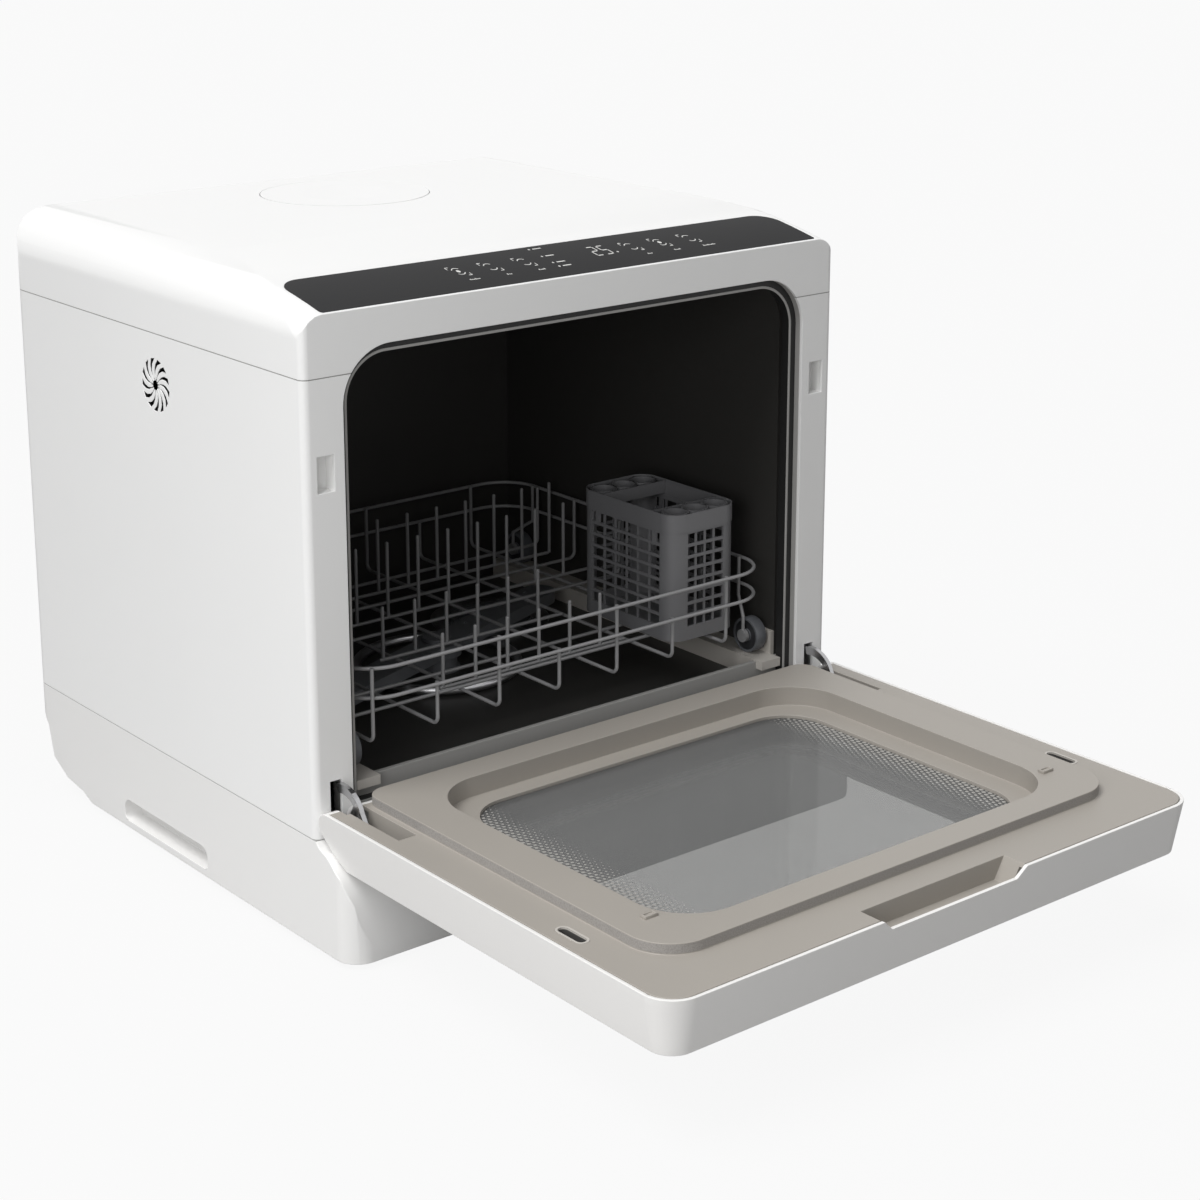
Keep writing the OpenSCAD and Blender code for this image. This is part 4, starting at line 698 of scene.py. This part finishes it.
# Bars across one open side, in front of thinner posts. The side has a middle and an outward direction.
def basketLattice(middle, out, width, height, columns):
    along = Vector((-out.y, out.x, 0))
    lap = basket["lap"]
    bars = []
    for row in range(1, basket["rows"]):
        rise = Vector((0, 0, height * (row / basket["rows"] - 0.5)))
        flat = [basket["barThick"] if abs(v) > 0.5 else width + lap for v in out[:2]]
        depth = basket["barThick"] * basket["barSeat"]
        bars.append(block(middle + rise - out * depth, flat + [basket["barHigh"]]))
    for column in range(1, columns):
        across = along * width * (column / columns - 0.5)
        flat = [basket["postThick"] if abs(v) > 0.5 else basket["postWide"] for v in out[:2]]
        depth = basket["wall"] - basket["postThick"] / 2
        bars.append(block(middle + across - out * depth, flat + [height + lap]))
    return bars


def basketRing(x, y, top):
    wipe()
    high = basket["ringHigh"]
    bpy.ops.mesh.primitive_cylinder_add(vertices=40, radius=basket["ringOut"], depth=high,
                                        end_fill_type="NOTHING", location=(x, y, top - high / 2))
    ring = bpy.context.object
    applyPlace(ring)
    addWall(ring, basket["ringOut"] - basket["ringIn"])
    return ring


# Rings for the handles at one end, the webs that hold them, and the clips below the band
def basketHolders(middle, size, sign, rim):
    end = middle.y + sign * size.y / 2
    top = rim - basket["ringDrop"]
    ringY = end - sign * basket["ringFromEnd"]
    web = basket["web"]
    tall = basket["webHigh"]
    webZ = top - tall / 2
    parts = []
    for number in (-1, 0, 1):
        x = middle.x + number * basket["ringPitch"]
        parts.append(basketRing(x, ringY, top))
        reach = basket["ringFromEnd"] - basket["ringOut"]
        parts.append(block((x, end - sign * reach / 2, webZ), (web, reach, tall)))
        toWeb = basket["webFromEnd"] - basket["ringFromEnd"] - basket["ringOut"]
        parts.append(block((x, end - sign * (basket["webFromEnd"] - toWeb / 2), webZ),
                           (web, toWeb + basket["lap"] / 2, tall)))
    parts.append(block((middle.x, end - sign * basket["webFromEnd"], top - basket["ringHigh"] / 2),
                       (size.x - basket["cross"], web, basket["ringHigh"])))
    inside = size.x / 2 - basket["ringPitch"] - basket["ringOut"]
    clip = basket["clip"]
    for side in (-1, 1):
        parts.append(block((middle.x + side * (size.x / 2 - inside / 2), ringY, webZ), (inside, web, tall)))
        parts.append(block((middle.x + side * (size.x / 2 - clip[0]), middle.y + sign * basket["clipY"],
                            rim - basket["band"] - clip[2] / 2), clip))
    return parts


def makeBasket():
    low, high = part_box("cutlery_basket")
    middle = (low + high) / 2
    size = high - low
    parts = [basketShell(low, high)]
    tall = size.z - basket["foot"] - basket["band"] - 2 * basket["edge"]
    level = (low.z + basket["foot"] + high.z - basket["band"]) / 2
    for sign in (-1, 1):
        wide = size.x - 2 * basket["corner"] - 2 * basket["step"] - 2 * basket["edge"]
        edge = middle.y + sign * (size.y / 2 - basket["step"])
        parts += basketLattice(Vector((middle.x, edge, level)), Vector((0, sign, 0)), wide, tall,
                               basket["endColumns"])
        wide += size.y - size.x
        edge = middle.x + sign * (size.x / 2 - basket["step"])
        parts += basketLattice(Vector((edge, middle.y, level)), Vector((sign, 0, 0)), wide, tall,
                               basket["sideColumns"])
        parts += basketHolders(middle, size, sign, high.z)
    made = joinPieces(parts, "cutlery_basket_piece")
    smooth(made, 40)
    settle(made, "cutlery_basket_piece", bodyOf["cutlery_basket"], "basket_grey", ("cutlery_basket",))
    return made


made = makeBasket()
print("cutlery basket:", len(made.data.polygons), "faces")


# Wheels
wheel = {"tyre": 0.0017, "dish": 0.0056, "innerDish": 0.0015, "hub": 0.0044, "bore": 0.00256, "spokes": 5,
         "spokeThick": 0.0013, "spokeDeep": 0.0034, "spokeLap": 0.0006, "spokeSunk": 0.0004,
         "hubDrop": 0.0006, "edge": 0.0003, "sunk": 0.001, "margin": (0.0002, 0.0004),
         "near": 0.0001}


def makeWheel(name):
    low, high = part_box(name)
    middle = (low + high) / 2
    radius = (high.z - low.z) / 2
    wide = high.x - low.x
    wipe()
    bpy.ops.mesh.primitive_cylinder_add(vertices=64, radius=radius, depth=wide, location=middle,
                                        rotation=(0, math.pi / 2, 0))
    body = bpy.context.object
    applyPlace(body)
    for side, dish in ((-1, wheel["dish"]), (1, wheel["innerDish"])):
        face = middle.x + side * wide / 2
        pickFaces(body, lambda c, n: n.x * side > 0.9 and abs(c.x - face) < wheel["near"])
        bpy.ops.mesh.inset(thickness=wheel["tyre"])
        bpy.ops.mesh.extrude_region_move(TRANSFORM_OT_translate={"value": (-side * dish, 0, 0)})
        bpy.ops.mesh.inset(thickness=radius - wheel["tyre"] - wheel["hub"])
        rise = side * (dish - wheel["hubDrop"])
        bpy.ops.mesh.extrude_region_move(TRANSFORM_OT_translate={"value": (rise, 0, 0)})
        bpy.ops.mesh.inset(thickness=wheel["hub"] - wheel["bore"])
        bpy.ops.object.mode_set(mode="OBJECT")
    pickFaces(body, lambda c, n: (c - middle).yz.length < wheel["near"])
    bpy.ops.mesh.bridge_edge_loops()
    bpy.ops.object.mode_set(mode="OBJECT")
    parts = [body]
    ring = (radius - wheel["tyre"] + wheel["hub"]) / 2
    length = radius - wheel["tyre"] - wheel["hub"] + wheel["spokeLap"]
    depth = wheel["spokeDeep"]
    for number in range(wheel["spokes"]):
        turn = 2 * math.pi * number / wheel["spokes"]
        out = Vector((0, math.sin(turn), math.cos(turn))) * ring
        floorX = wheel["dish"] - depth / 2 - wide / 2
        wipe()
        bpy.ops.mesh.primitive_cube_add(size=1, location=middle + out + Vector((floorX, 0, 0)),
                                        rotation=(-turn, 0, 0))
        spoke = bpy.context.object
        spoke.scale = (depth + wheel["spokeSunk"], wheel["spokeThick"], length)
        applyPlace(spoke)
        parts.append(spoke)
    made = joinPieces(parts, name + "_piece")
    bevelEdges(made, wheel["edge"], 40)
    smooth(made, 40)
    markShadedDish(made, middle, wide / 2 - wheel["sunk"], wheel["hub"] + wheel["margin"][0],
             radius - wheel["tyre"] + wheel["margin"][1])
    return made, middle


# Points of the dish, deeper than the side and between two circles, get 1 in the mesh's own attribute, which
# places the painted shade
def markShadedDish(made, middle, side, inner, outer):
    dishShade = made.data.attributes.new("dish", "FLOAT", "POINT")
    for number, point in enumerate(made.data.vertices):
        away = (point.co - middle).yz.length
        dishShade.data[number].value = float(abs(point.co.x - middle.x) < side and inner < away < outer)


firstWheel, firstMiddle = makeWheel("front_left_wheel")
wheelNames = [end + side + "_wheel" for end in ("front", "middle", "rear") for side in ("_left", "_right")]
for name in wheelNames:
    copy = firstWheel
    if name != "front_left_wheel":
        low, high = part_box(name)
        turned = Matrix.Rotation(math.pi if "right" in name else 0, 4, "Z")
        copy = bpy.data.objects.new(name + "_piece", firstWheel.data.copy())
        bpy.context.scene.collection.objects.link(copy)
        copy.data.transform(Matrix.Translation((low + high) / 2) @ turned @ Matrix.Translation(-firstMiddle))
    settle(copy, name + "_piece", bodyOf[name], "wheel_grey", (name,))
print("wheels:", len(wheelNames))


# Stops for the front wheels on the door's raised frame
wheelStop = {"x": 0.1585, "y": -0.2660, "size": (0.0090, 0.0050, 0.0018), "rim": 0.0013, "notch": 0.0009,
             "seat": 0.1010, "sunk": 0.0004, "edge": 0.0003}


def makeStop(side):
    length, depth, height = wheelStop["size"]
    sunk = wheelStop["sunk"]
    level = wheelStop["seat"] + (height - sunk) / 2
    tab = block((side * wheelStop["x"], wheelStop["y"], level), (length, depth, height + sunk))
    pickFaces(tab, lambda c, n: n.z > 0.9)
    bpy.ops.mesh.inset(thickness=wheelStop["rim"])
    bpy.ops.mesh.extrude_region_move(TRANSFORM_OT_translate={"value": (0, 0, -wheelStop["notch"])})
    bpy.ops.object.mode_set(mode="OBJECT")
    bevelEdges(tab, wheelStop["edge"])
    smooth(tab)
    settle(tab, "wheel_stop_" + ("right" if side > 0 else "left"), "door", "liner_grey")


for side in (-1, 1):
    makeStop(side)
print("wheel stops ready")


# Floor
floor = {"size": 14.0, "colour": (0.36, 0.36, 0.36), "white": 0.92}
wipe()
bpy.ops.mesh.primitive_plane_add(size=floor["size"], location=(0, 0, 0))
ground = bpy.context.object
ground.name = "floor"
ground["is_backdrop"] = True
paper, shader, place = startFinish("floorPaper", {"Roughness": 0.9, "Specular IOR Level": 0.1})
feed(shader, Base_Color=place.noise(3, 2).blend(floor["colour"], toned(floor["colour"], 1.02)))
seen = place.node("ShaderNodeLightPath", None, None, "Is Camera Ray")
glow = place.node("ShaderNodeEmission")
mixShaders(seen * floor["white"], shader.outputs[0], glow.socket)
ground.data.materials.append(paper)


# Studio light: a white world, a broad key from above the left side, and a soft lamp at the front left
light = {"world": 0.3, "keyPower": 2.5, "keyTilt": (1, -27, 0), "keyAngle": 35, "sidePower": 3.5,
         "sidePlace": (-0.95, -0.6, 0.5), "sideAim": (-0.2, 0.05, 0.2), "sideSize": 0.6}
world = bpy.data.worlds.new("studio")
bpy.context.scene.world = world
world.use_nodes = True
tree = world.node_tree
background = tree.nodes["Background"]
background.inputs["Color"].default_value = (1, 1, 1, 1)
paths = tree.nodes.new("ShaderNodeLightPath")
seen = Wire(tree, paths.outputs["Is Camera Ray"])
for ray in ("Is Transmission Ray", "Is Glossy Ray"):
    seen = seen.math("MAXIMUM", seen, Wire(tree, paths.outputs[ray]))
tree.links.new((light["world"] + (1 - light["world"]) * seen).socket, background.inputs["Strength"])


def addLamp(name, kind, place, turn, **settings):
    lamp = bpy.data.lights.new(name, kind)
    for key, value in settings.items():
        setattr(lamp, key, value)
    lampHolder = bpy.data.objects.new(name, lamp)
    bpy.context.scene.collection.objects.link(lampHolder)
    lampHolder.location = place
    lampHolder.rotation_euler = turn
    return lampHolder


addLamp("key", "SUN", (0, 0, 0), [math.radians(v) for v in light["keyTilt"]], energy=light["keyPower"],
        angle=math.radians(light["keyAngle"]))
aim = Vector(light["sideAim"]) - Vector(light["sidePlace"])
soft = addLamp("soft", "AREA", light["sidePlace"], aim.to_track_quat("-Z", "Y").to_euler(), shape="DISK",
               size=light["sideSize"], energy=light["sidePower"])
soft.visible_camera = False
print("floor and lights ready")

low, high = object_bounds()
